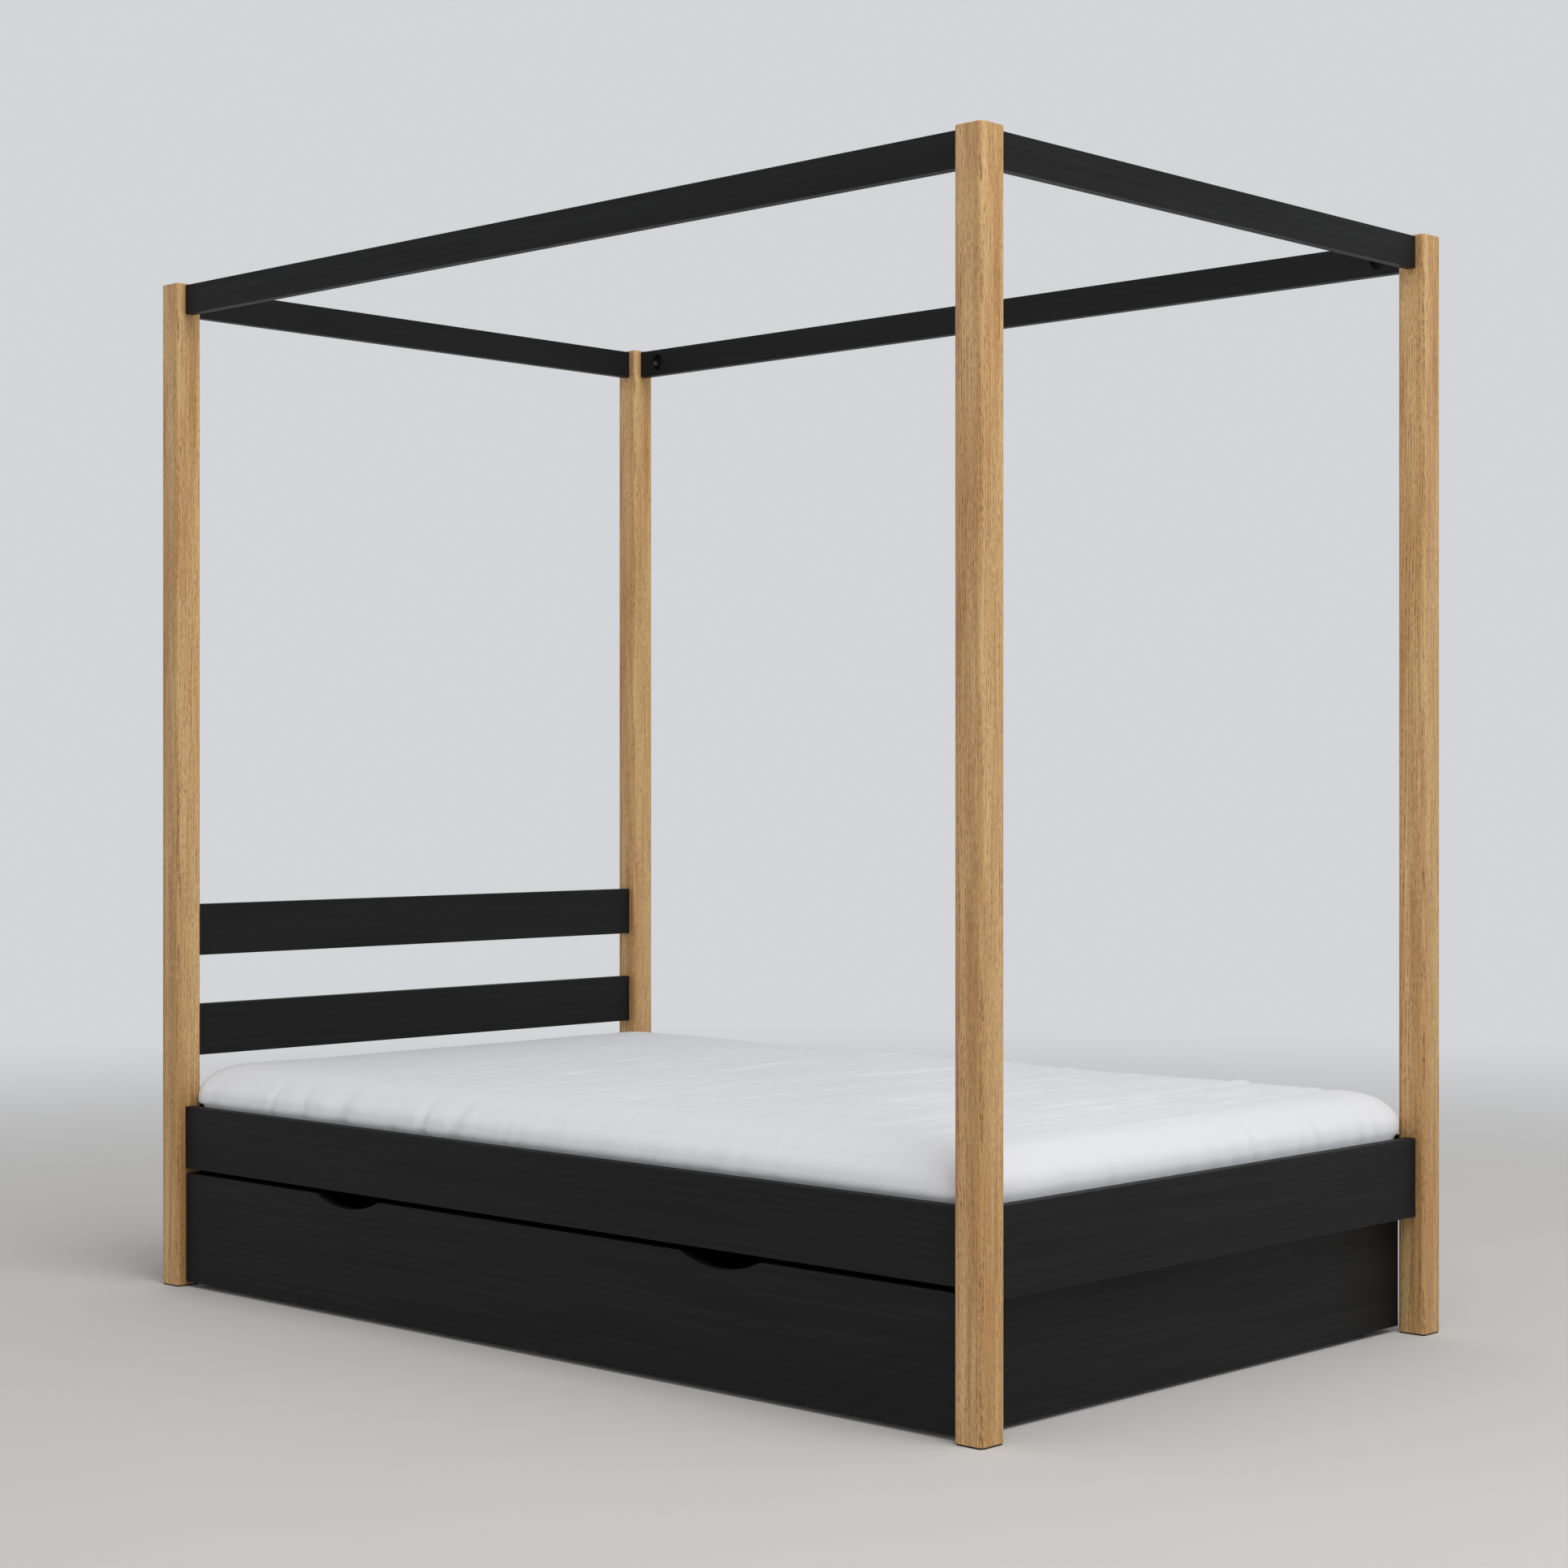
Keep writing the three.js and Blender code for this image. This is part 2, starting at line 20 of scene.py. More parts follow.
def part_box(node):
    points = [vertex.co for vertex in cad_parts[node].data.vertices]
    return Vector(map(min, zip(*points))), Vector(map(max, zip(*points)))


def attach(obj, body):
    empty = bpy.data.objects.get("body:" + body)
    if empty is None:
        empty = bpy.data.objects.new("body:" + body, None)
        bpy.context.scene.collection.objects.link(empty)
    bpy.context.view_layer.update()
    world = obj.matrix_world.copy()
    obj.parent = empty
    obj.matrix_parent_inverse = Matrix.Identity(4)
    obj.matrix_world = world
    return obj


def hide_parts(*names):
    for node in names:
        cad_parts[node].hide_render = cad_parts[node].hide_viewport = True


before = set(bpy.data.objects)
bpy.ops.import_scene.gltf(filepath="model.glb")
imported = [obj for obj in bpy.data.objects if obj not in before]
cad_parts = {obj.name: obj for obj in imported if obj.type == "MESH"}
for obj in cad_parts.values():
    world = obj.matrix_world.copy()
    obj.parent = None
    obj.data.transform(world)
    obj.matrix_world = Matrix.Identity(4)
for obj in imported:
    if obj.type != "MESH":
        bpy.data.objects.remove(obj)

LOG = logging.getLogger("bed")
MM = 0.001
BED = "bed_frame"
DRAWER = "drawer"

Colour = tuple[float, float, float]
Socket = bpy.types.NodeSocket
Piece = bpy.types.Object

# The light far round the bed, and the floor's tone where it fades into it.
SKY: Colour = (0.655, 0.665, 0.685)


class Axis(Enum):
    """The axis that a piece's grain runs along."""

    X = 0
    Y = 1
    Z = 2


class Corner(Enum):
    """A corner of the bed, as its signs along X and Y."""

    HEAD_NEAR = (-1, -1)
    HEAD_FAR = (-1, 1)
    FOOT_NEAR = (1, -1)
    FOOT_FAR = (1, 1)

    @property
    def label(self) -> str:
        """The corner's name as the CAD nodes end with it."""
        return self.name.lower()

    @property
    def side(self) -> str:
        """The side of the bed that it is on, near or far."""
        return self.label.split("_")[1]


def shade(red: int, green: int, blue: int) -> Colour:
    """A display colour, given from 0 to 255, as linear light."""
    return tuple(
        c / 12.92 if c <= 0.04045 else ((c + 0.055) / 1.055) ** 2.4
        for c in (red / 255, green / 255, blue / 255)
    )


# ---- Node trees ----


class Bench:
    """A node tree being built, with short calls that add nodes and join them."""

    def __init__(self, tree: bpy.types.NodeTree) -> None:
        """Starts from an empty tree."""
        self.tree = tree
        tree.nodes.clear()

    def feed(self, socket: Socket, value: object) -> None:
        """Joins a socket to another, or sets its value."""
        if isinstance(value, bpy.types.NodeSocket):
            self.tree.links.new(value, socket)
        else:
            socket.default_value = value

    def add(self, kind: str, inputs: dict | None = None, **settings: object) -> bpy.types.Node:
        """Adds one node.

        Args:
            kind: The node's type name.
            inputs: Values or sockets for its inputs, by name or number.
            settings: The node's own properties.

        Returns:
            The new node.
        """
        node = self.tree.nodes.new(kind)
        for name, value in settings.items():
            setattr(node, name, value)
        for key, value in (inputs or {}).items():
            self.feed(node.inputs[key], value)
        return node

    def math(self, operation: str, *values: object, clamp: bool = False) -> Socket:
        """The result of one scalar operation."""
        inputs = dict(enumerate(values))
        return self.add("ShaderNodeMath", inputs, operation=operation, use_clamp=clamp).outputs[0]

    def vector(self, operation: str, *values: object) -> Socket:
        """The vector result of one vector operation."""
        return self.add("ShaderNodeVectorMath", dict(enumerate(values)), operation=operation).outputs[0]

    def join(self, x: object = 0.0, y: object = 0.0, z: object = 0.0) -> Socket:
        """A vector from its three parts."""
        return self.add("ShaderNodeCombineXYZ", {0: x, 1: y, 2: z}).outputs[0]

    def split(self, vector: Socket) -> Sequence[Socket]:
        """The three parts of a vector."""
        return self.add("ShaderNodeSeparateXYZ", {0: vector}).outputs


class Shader(Bench):
    """A material's tree, with its shader and the object's own coordinates ready."""

    def __init__(self, name: str, roughness: float, **sockets: object) -> None:
        """Makes the material.

        Args:
            name: The material's name.
            roughness: The roughness where nothing else sets it.
            sockets: Other shader inputs that are the same all over, with _ for spaces.
        """
        self.material = bpy.data.materials.new(name)
        self.material.use_nodes = True
        super().__init__(self.material.node_tree)
        self.surface = self.add("ShaderNodeBsdfPrincipled", {"Roughness": roughness})
        for label, value in sockets.items():
            self.surface.inputs[label.replace("_", " ")].default_value = value
        self.output = self.add("ShaderNodeOutputMaterial", {"Surface": self.surface.outputs[0]})
        self.place = self.add("ShaderNodeTexCoord").outputs["Object"]

    def noise(self, vector: Socket, scale: object, detail: float = 2.0, colour: bool = False) -> Socket:
        """Noise over a vector.

        Args:
            vector: The coordinates.
            scale: One number, or three that stretch the noise along the axes.
            detail: How many finer layers it has.
            colour: Whether the result is three numbers.

        Returns:
            The noise, from 0 to 1.
        """
        if isinstance(scale, tuple):
            vector, scale = self.vector("MULTIPLY", vector, scale), 1.0
        node = self.add("ShaderNodeTexNoise", {"Vector": vector, "Scale": scale, "Detail": detail})
        return node.outputs[1 if colour else 0]

    def band(self, value: Socket, low: float, high: float, start: float = 0.0, end: float = 1.0) -> Socket:
        """A smooth rise from start to end while the value goes from low to high."""
        inputs = {0: value, 1: low, 2: high, 3: start, 4: end}
        return self.add("ShaderNodeMapRange", inputs, interpolation_type="SMOOTHSTEP").outputs[0]

    def blend(self, share: Socket, first: object, second: object) -> Socket:
        """A colour between two others."""
        inputs = {0: share}
        for key, value in ((6, first), (7, second)):
            inputs[key] = (*value, 1.0) if isinstance(value, tuple) else value
        return self.add("ShaderNodeMix", inputs, data_type="RGBA").outputs[2]

    def attribute(self, name: str) -> Socket:
        """A number kept on the piece's mesh."""
        return self.add("ShaderNodeAttribute", attribute_name=name).outputs["Fac"]

    def uv(self, name: str) -> Sequence[Socket]:
        """The two coordinates of one of the piece's own UV maps."""
        return self.split(self.add("ShaderNodeUVMap", uv_map=name).outputs[0])

    def paint(self, colour: Socket, roughness: Socket | None = None) -> None:
        """Joins the colour, and the roughness where it varies, to the shader."""
        self.feed(self.surface.inputs["Base Color"], colour)
        if roughness is not None:
            self.feed(self.surface.inputs["Roughness"], roughness)

    def emboss(self, height: Socket, depth: float) -> None:
        """Bumps the surface by a height from 0 to 1, over the given depth."""
        bump = self.add("ShaderNodeBump", {"Height": height, "Distance": depth, "Strength": 1.0})
        self.feed(self.surface.inputs["Normal"], bump.outputs[0])


class Kind(Enum):
    """What an input of a pattern holds."""

    LENGTH = "NodeSocketFloat"
    COUNT = "NodeSocketInt"
    PLACE = "NodeSocketVector"
    FINISH = "NodeSocketMaterial"


class Pattern(Bench, ABC):
    """A geometry node tree with named inputs, whose result becomes a plain mesh."""

    title = "Pattern"
    inputs: dict[str, Kind] = {}

    def __init__(self) -> None:
        """Makes the tree and its inputs, then lets the pattern draw itself."""
        super().__init__(bpy.data.node_groups.new(self.title, "GeometryNodeTree"))
        for label, kind in {**self.inputs, "Finish": Kind.FINISH}.items():
            self.tree.interface.new_socket(label, in_out="INPUT", socket_type=kind.value)
        self.tree.interface.new_socket("Mesh", in_out="OUTPUT", socket_type="NodeSocketGeometry")
        self.given = self.add("NodeGroupInput").outputs
        real = self.add("GeometryNodeRealizeInstances", {0: self.draw()}).outputs[0]
        dressed = self.add("GeometryNodeSetMaterial", {"Geometry": real, "Material": self.given["Finish"]})
        self.add("NodeGroupOutput", {0: dressed.outputs[0]})

    @abstractmethod
    def draw(self) -> Socket:
        """Adds the pattern's own nodes and returns its geometry."""

    def make(self, name: str, finish: "Finish", **values: object) -> Piece:
        """Makes one plain mesh piece.

        Args:
            name: The piece's name.
            finish: What it is dressed in.
            values: The inputs, with _ for spaces.

        Returns:
            The piece, with no modifier left on it.
        """
        piece = new_piece(name, bpy.data.meshes.new(name))
        modifier = piece.modifiers.new(self.title, "NODES")
        modifier.node_group = self.tree
        given = {label.replace("_", " "): value for label, value in values.items()}
        given["Finish"] = finish.material()
        for item in self.tree.interface.items_tree:
            if item.in_out == "INPUT":
                modifier[item.identifier] = given[item.name]
        bake(piece)
        return piece

    def prism(self, outline: Socket, height: object) -> Socket:
        """A closed solid that stands on an outline in the XY plane."""
        base = self.add("GeometryNodeFillCurve", {"Curve": outline}, mode="NGONS").outputs[0]
        return self.thick(base, height)

    def thick(self, base: Socket, height: object) -> Socket:
        """A closed solid from a flat mesh and its thickness."""
        inputs = {"Mesh": base, "Offset Scale": height, "Individual": False}
        raised = self.add("GeometryNodeExtrudeMesh", inputs)
        turned = self.add("GeometryNodeFlipFaces", {0: base}).outputs[0]
        both = self.both(raised.outputs[0], turned)
        return self.add("GeometryNodeMergeByDistance", {"Geometry": both, "Distance": 0.01 * MM}).outputs[0]

    def both(self, *parts: Socket) -> Socket:
        """Several geometries as one."""
        node = self.add("GeometryNodeJoinGeometry")
        for part in parts:
            self.tree.links.new(part, node.inputs[0])
        return node.outputs[0]

    def share(self, value: object, factor: float) -> Socket:
        """A size that is a fixed share of another."""
        return self.math("MULTIPLY", value, factor)

    def moved(self, geometry: Socket, place: object = None, turn: object = None) -> Socket:
        """Geometry that is turned by three angles, then moved."""
        inputs = {"Geometry": geometry}
        if place is not None:
            inputs["Translation"] = place
        if turn is not None:
            inputs["Rotation"] = turn
        return self.add("GeometryNodeTransform", inputs).outputs[0]

    def ring(self, radius: object, steps: int) -> Socket:
        """A circle in the XY plane."""
        inputs = {"Resolution": steps, "Radius": radius}
        return self.add("GeometryNodeCurvePrimitiveCircle", inputs, mode="RADIUS").outputs[0]

    def row(self, count: object, start: object, end: object) -> Socket:
        """Evenly spaced points from start to end."""
        inputs = {"Count": count, "Start Location": start, "Offset": end}
        return self.add("GeometryNodeMeshLine", inputs, mode="END_POINTS").outputs[0]

    def repeat(self, points: Socket, shape: Socket, turn: object = None) -> Socket:
        """One instance of a shape at each point."""
        inputs = {"Points": points, "Instance": shape}
        if turn is not None:
            inputs["Rotation"] = turn
        return self.add("GeometryNodeInstanceOnPoints", inputs).outputs[0]


# ---- Meshes ----


def new_piece(name: str, mesh: bpy.types.Mesh) -> Piece:
    """An object for a mesh, in the scene and at the origin."""
    piece = bpy.data.objects.new(name, mesh)
    bpy.context.scene.collection.objects.link(piece)
    return piece


def from_bmesh(name: str, shape: bmesh.types.BMesh, matrix: Matrix | None = None) -> Piece:
    """A piece from a bmesh, with its faces pointing outwards.

    Args:
        name: The piece's name.
        shape: The closed shape, which is freed.
        matrix: Where the shape goes, put into the mesh.

    Returns:
        The new piece.
    """
    if matrix is not None:
        shape.transform(matrix)
    bmesh.ops.recalc_face_normals(shape, faces=shape.faces)
    mesh = bpy.data.meshes.new(name)
    shape.to_mesh(mesh)
    shape.free()
    return new_piece(name, mesh)


def bake(piece: Piece) -> None:
    """Turns a piece's modifiers into its plain mesh."""
    bpy.context.view_layer.update()
    graph = bpy.context.evaluated_depsgraph_get()
    evaluated = piece.evaluated_get(graph)
    mesh = bpy.data.meshes.new_from_object(evaluated, preserve_all_data_layers=True, depsgraph=graph)
    piece.modifiers.clear()
    piece.data = mesh


def smooth(piece: Piece, sharp_degrees: float = 38.0) -> None:
    """Shades a piece smooth, crisp where faces meet at more than the angle."""
    mesh = piece.data
    mesh.polygons.foreach_set("use_smooth", [True] * len(mesh.polygons))
    mesh.set_sharp_from_angle(angle=math.radians(sharp_degrees))
    weighted = piece.modifiers.new("even", "WEIGHTED_NORMAL")
    weighted.keep_sharp = True
    bake(piece)


def carve(piece: Piece, cutters: Iterable[Piece]) -> None:
    """Takes each cutter out of a piece and removes the cutter."""
    cutters = list(cutters)
    for cutter in cutters:
        cut = piece.modifiers.new(cutter.name, "BOOLEAN")
        cut.operation, cut.solver, cut.object = "DIFFERENCE", "EXACT", cutter
    if cutters:
        bake(piece)
    for cutter in cutters:
        bpy.data.objects.remove(cutter)


def turned(profile: Sequence[tuple[float, float]], steps: int, closed: bool = False) -> bmesh.types.BMesh:
    """A round shape about Z.

    Args:
        profile: Radius and height pairs. A radius of 0 is a pole.
        steps: How many sides it has.
        closed: Whether the profile's end joins its start, as in a ring.

    Returns:
        The shape.
    """
    shape = bmesh.new()
    rings = []
    for radius, height in profile:
        angles = [0.0] if radius == 0 else [math.tau * k / steps for k in range(steps)]
        ring = [shape.verts.new((radius * math.cos(a), radius * math.sin(a), height)) for a in angles]
        rings.append(ring * steps if radius == 0 else ring)
    pairs = list(zip(rings, rings[1:]))
    if closed:
        pairs.append((rings[-1], rings[0]))
    for lower, upper in pairs:
        for k in range(steps):
            after = (k + 1) % steps
            corners = dict.fromkeys((lower[k], lower[after], upper[after], upper[k]))
            shape.faces.new(corners)
    return shape


def cuboid(low: Vector, high: Vector) -> bmesh.types.BMesh:
    """A square-edged block between two opposite corners."""
    shape = bmesh.new()
    bmesh.ops.create_cube(shape, size=1.0)
    bmesh.ops.scale(shape, vec=high - low, verts=shape.verts)
    bmesh.ops.translate(shape, vec=(low + high) / 2, verts=shape.verts)
    return shape


def loft(
    half: tuple[float, float], radius: float, rings: Sequence[tuple[float, float]], steps: int
) -> bmesh.types.BMesh:
    """An upright block with round corners.

    Args:
        half: Half its length and half its width.
        radius: The radius of its upright corners.
        rings: How far in, and at what height, each outline is, from the bottom up.
        steps: Sides to each corner.

    Returns:
        The closed shape.
    """
    shape = bmesh.new()
    loops = []
    for inset, height in rings:
        loop = []
        for quarter in range(4):
            signs = ((1, 1), (-1, 1), (-1, -1), (1, -1))[quarter]
            for step in range(steps + 1):
                angle = (quarter + step / steps) * math.pi / 2
                x = signs[0] * (half[0] - radius) + (radius - inset) * math.cos(angle)
                y = signs[1] * (half[1] - radius) + (radius - inset) * math.sin(angle)
                loop.append(shape.verts.new((x, y, height)))
        loops.append(loop)
    for lower, upper in zip(loops, loops[1:]):
        for k, vertex in enumerate(lower):
            after = (k + 1) % len(lower)
            shape.faces.new((vertex, lower[after], upper[after], upper[k]))
    shape.faces.new(loops[0])
    shape.faces.new(loops[-1])
    return shape


def rounded_rings(
    bottom: float, top: float, low: float, high: float, steps: int
) -> list[tuple[float, float]]:
    """The outlines of a block whose bottom and top edges are rounded by low and high."""
    quarter = [math.pi / 2 * k / steps for k in range(steps + 1)]
    rings = [(low * (1 - math.sin(a)), bottom + low * (1 - math.cos(a))) for a in quarter]
    return rings + [(high * (1 - math.cos(a)), top - high * (1 - math.sin(a))) for a in quarter]


def rows_of(items: bpy.types.bpy_prop_collection, measure: str) -> np.ndarray:
    """A three-part measure of every vertex or face of a mesh, as rows."""
    flat = np.empty(len(items) * 3, np.float32)
    items.foreach_get(measure, flat)
    return flat.reshape(-1, 3).astype(float)


def settle(piece: Piece, body: str, replaced: Sequence[str] = ()) -> Piece:
    """Hangs a finished piece on its body and logs it.

    Args:
        piece: The piece.
        body: The CAD body that it moves with.
        replaced: The CAD nodes that it stands for.

    Returns:
        The same piece.
    """
    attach(piece, body)
    if replaced:
        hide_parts(*replaced)
    LOG.info("%s on %s: %d faces", piece.name, body, len(piece.data.polygons))
    return piece


# ---- Finishes ----


@dataclass(frozen=True)
class Finish(ABC):
    """What a surface is made of. Its material is made once and shared."""

    name: str

    def material(self) -> bpy.types.Material:
        """The finish's material."""
        return bpy.data.materials.get(self.name) or self.make()

    def dress(self, piece: Piece) -> None:
        """Puts the finish on a whole piece."""
        piece.data.materials.clear()
        piece.data.materials.append(self.material())

    @abstractmethod
    def make(self) -> bpy.types.Material:
        """Builds the material."""


@dataclass(frozen=True)
class OiledOak(Finish):
    """Oak under clear oil: growth rings about a pith outside the post, with open pores in them."""

    centre: tuple[float, float] = (0.0, 0.0)
    pith: tuple[float, float] = (0.09, 0.05)
    lean: tuple[float, float] = (0.0, 0.0)
    ring_width: float = 2.9 * MM
    pale: Colour = shade(223, 186, 130)
    amber: Colour = shade(188, 139, 81)
    rust: Colour = shade(174, 109, 61)
    pore: Colour = shade(104, 64, 32)

    def make(self) -> bpy.types.Material:
        """Builds rings, pores, fibre and slow changes of tone."""
        s = Shader(self.name, 0.5, Specular_IOR_Level=0.35)
        post = s.vector("SUBTRACT", s.place, (*self.centre, 0.0))
        sway = s.noise(post, (5.0, 5.0, 0.9), 2.0, colour=True)
        sway = s.vector("MULTIPLY", s.vector("SUBTRACT", sway, (0.5, 0.5, 0.5)), (0.03, 0.03, 0.0))
        wood = s.vector("ADD", post, sway)
        x, y, z = s.split(wood)
        across = s.math("ADD", s.math("SUBTRACT", x, self.pith[0]), s.math("MULTIPLY", z, self.lean[0]))
        along = s.math("ADD", s.math("SUBTRACT", y, self.pith[1]), s.math("MULTIPLY", z, self.lean[1]))
        reach = s.math("SQRT", s.math("ADD", s.math("POWER", across, 2.0), s.math("POWER", along, 2.0)))
        uneven = s.noise(wood, (34.0, 34.0, 1.4), 2.0)
        years = s.math("ADD", s.math("DIVIDE", reach, self.ring_width), s.math("MULTIPLY", uneven, 2.6))
        early = s.band(s.math("FRACT", years), 0.0, 0.62, 1.0, 0.0)
        broken = s.band(s.noise(wood, (120.0, 120.0, 9.0), 2.0), 0.35, 0.62, 0.25, 1.0)
        early = s.math("MULTIPLY", early, broken)
        groups = s.band(s.noise(wood, (480.0, 480.0, 80.0), 1.0), 0.46, 0.60)
        pores = s.band(s.noise(wood, (1300.0, 1300.0, 120.0), 1.0), 0.50, 0.60)
        pores = s.math("MULTIPLY", pores, s.math("ADD", s.math("MULTIPLY", early, 0.7), 0.3))
        groups = s.math("MULTIPLY", groups, s.math("ADD", s.math("MULTIPLY", early, 0.75), 0.25))
        fibre = s.noise(wood, (420.0, 420.0, 6.0), 3.0)
        tone = s.band(s.noise(post, (42.0, 42.0, 1.5), 2.0), 0.32, 0.68)
        warm = s.band(s.noise(post, (70.0, 70.0, 2.2), 2.0), 0.54, 0.70)
        light = s.band(s.noise(wood, (230.0, 230.0, 3.0), 1.5), 0.55, 0.68)
        colour = s.blend(s.math("MULTIPLY", tone, 0.7), self.pale, self.amber)
        colour = s.blend(s.math("MULTIPLY", warm, 0.45), colour, self.rust)
        colour = s.blend(s.math("MULTIPLY", light, 0.6), colour, self.pale)
        colour = s.blend(s.math("MULTIPLY", early, 0.34), colour, self.rust)
        colour = s.blend(s.band(fibre, 0.42, 0.72, 0.0, 0.5), colour, self.amber)
        colour = s.blend(s.math("MULTIPLY", groups, 0.6), colour, self.pore)
        colour = s.blend(s.math("MULTIPLY", pores, 0.6), colour, self.pore)
        s.paint(colour, s.band(pores, 0.0, 1.0, 0.46, 0.75))
        s.emboss(s.math("SUBTRACT", s.math("MULTIPLY", fibre, 0.3), pores), 0.10 * MM)
        return s.material


@dataclass(frozen=True)
class BlackPaint(Finish):
    """Near-black satin paint on timber, its grain showing faintly, with a painted highlight along its eased
    edges.
    """

    axis: Axis = Axis.X
    ground: Colour = (0.0106, 0.0106, 0.0109)
    raised: Colour = (0.0132, 0.0132, 0.0135)
    # Painted highlight: the lighter colour where grazing light catches the eased edges.
    rubbed: Colour = (0.030, 0.029, 0.029)

    def make(self) -> bpy.types.Material:
        """Builds the grain along the board and the painted highlight on its eased edges."""
        s = Shader(self.name, 0.5, Specular_IOR_Level=0.12)
        stretch = [150.0, 150.0, 150.0]
        stretch[self.axis.value] = 3.2
        wide = [26.0, 26.0, 26.0]
        wide[self.axis.value] = 1.6
        grain = s.noise(s.place, tuple(stretch), 4.0)
        figure = s.noise(s.place, tuple(wide), 3.0)
        tone = s.math("ADD", s.math("MULTIPLY", grain, 0.55), s.math("MULTIPLY", figure, 0.45))
        colour = s.blend(s.band(tone, 0.36, 0.64), self.ground, self.raised)
        # Painted highlight along the eased edges, in patches.
        patchy = s.band(s.noise(s.place, 35.0, 3.0), 0.45, 0.65)
        edge_highlight_mask = s.math("MULTIPLY", s.attribute("worn"), s.math("ADD", s.math("MULTIPLY", patchy, 0.6), 0.25))
        colour = s.blend(edge_highlight_mask, colour, self.rubbed)
        s.paint(colour, s.band(tone, 0.3, 0.7, 0.55, 0.45))
        s.emboss(tone, 0.10 * MM)
        return s.material


@dataclass(frozen=True)
class WovenCotton(Finish):
    """Plain woven white cotton."""

    thread: float = 0.9 * MM
    white: Colour = (0.860, 0.866, 0.892)
    # Darker colour: painted shade where the weave lies low, and faint uneven blotches of tone.
    hollow: Colour = (0.780, 0.786, 0.815)

    def make(self) -> bpy.types.Material:
        """Builds the over and under of the threads, and their uneven thickness, with painted shade where they
        lie low.
        """
        s = Shader(self.name, 0.92, Specular_IOR_Level=0.15, Sheen_Weight=0.12, Sheen_Roughness=0.5)
        u, v, _ = s.uv("cover")
        pitch = math.pi / self.thread
        warp = s.math("SINE", s.math("MULTIPLY", u, pitch))
        weft = s.math("SINE", s.math("MULTIPLY", v, pitch))
        weave = s.math("ADD", s.math("MULTIPLY", s.math("MULTIPLY", warp, weft), 0.5), 0.5)
        slub = s.noise(s.join(u, v), (60.0, 900.0, 1.0), 2.0)
        cross = s.noise(s.join(u, v), (900.0, 60.0, 1.0), 2.0)
        uneven = s.math("MULTIPLY", s.math("ADD", slub, cross), 0.5)
        height = s.math("ADD", s.math("MULTIPLY", weave, 0.6), s.math("MULTIPLY", uneven, 0.8))
        soft = s.noise(s.place, 2.2, 3.0)
        # Painted shade: darker where the weave lies low.
        colour = s.blend(s.band(height, 0.35, 0.95), self.hollow, self.white)
        colour = s.blend(s.band(soft, 0.35, 0.7, 0.0, 0.10), colour, self.hollow)
        s.paint(colour)
        s.emboss(height, 0.10 * MM)
        return s.material


@dataclass(frozen=True)
class PressedFelt(Finish):
    """Dark felt of the pads under the posts."""

    dark: Colour = (0.012, 0.010, 0.008)
    fluff: Colour = (0.040, 0.034, 0.028)

    def make(self) -> bpy.types.Material:
        """Builds matted fibres."""
        s = Shader(self.name, 0.95, Specular_IOR_Level=0.1, Sheen_Weight=0.2)
        fibres = s.noise(s.place, 1400.0, 4.0)
        s.paint(s.blend(s.band(fibres, 0.35, 0.7), self.dark, self.fluff))
        s.emboss(fibres, 0.3 * MM)
        return s.material


@dataclass(frozen=True)
class PlanedPine(Finish):
    """Planed pine, its grain along one axis, with a shift of its own for each slat."""

    axis: Axis = Axis.Y
    sap: Colour = shade(228, 199, 150)
    late: Colour = shade(190, 142, 88)

    def make(self) -> bpy.types.Material:
        """Builds wavy early and late wood with fine fibre."""
        s = Shader(self.name, 0.62, Specular_IOR_Level=0.3)
        shift = s.math("MULTIPLY", s.attribute("slat_tone"), 7.0)
        wood = s.vector("ADD", s.place, s.join(shift, shift, shift))
        wide, fine = [34.0, 34.0, 34.0], [700.0, 700.0, 700.0]
        wide[self.axis.value], fine[self.axis.value] = 1.3, 18.0
        figure = s.math("FRACT", s.math("MULTIPLY", s.noise(wood, tuple(wide), 1.0), 9.0))
        fibre = s.noise(wood, tuple(fine), 2.0)
        colour = s.blend(s.band(figure, 0.2, 0.95, 0.0, 0.7), self.sap, self.late)
        colour = s.blend(s.band(fibre, 0.45, 0.75, 0.0, 0.35), colour, self.late)
        colour = s.blend(s.math("MULTIPLY", s.attribute("slat_tone"), 0.25), colour, self.late)
        s.paint(colour)
        s.emboss(fibre, 0.08 * MM)
        return s.material


@dataclass(frozen=True)
class TwillTape(Finish):
    """Grey herringbone tape that joins the slats."""

    rib: float = 1.6 * MM
    light: Colour = (0.34, 0.34, 0.35)
    # Darker colour: painted shade in the grooves between the ribs.
    dark: Colour = (0.18, 0.18, 0.19)

    def make(self) -> bpy.types.Material:
        """Builds slanting ribs that turn back along the middle, with painted shade in the grooves between
        them.
        """
        s = Shader(self.name, 0.9, Specular_IOR_Level=0.15, Sheen_Weight=0.15)
        along, across, _ = s.uv("tape")
        slant = s.math("ADD", along, s.math("ABSOLUTE", across))
        ribs = s.math("PINGPONG", s.math("DIVIDE", slant, self.rib), 0.5)
        # Painted shade: darker in the grooves between the ribs.
        s.paint(s.blend(s.band(ribs, 0.05, 0.4), self.dark, self.light))
        s.emboss(ribs, 0.3 * MM)
        return s.material


@dataclass(frozen=True)
class ZincPlate(Finish):
    """Bright zinc on steel, slightly cloudy."""

    bright: Colour = (0.50, 0.51, 0.53)
    cloudy: Colour = (0.34, 0.35, 0.36)

    def make(self) -> bpy.types.Material:
        """Builds the cloudy patches and their duller shine."""
        s = Shader(self.name, 0.32, Metallic=1.0)
        cloud = s.noise(s.place, 260.0, 4.0)
        colour = s.blend(s.band(cloud, 0.4, 0.65), self.bright, self.cloudy)
        s.paint(colour, s.band(cloud, 0.35, 0.7, 0.26, 0.5))
        s.emboss(s.noise(s.place, 1800.0, 2.0), 0.02 * MM)
        return s.material


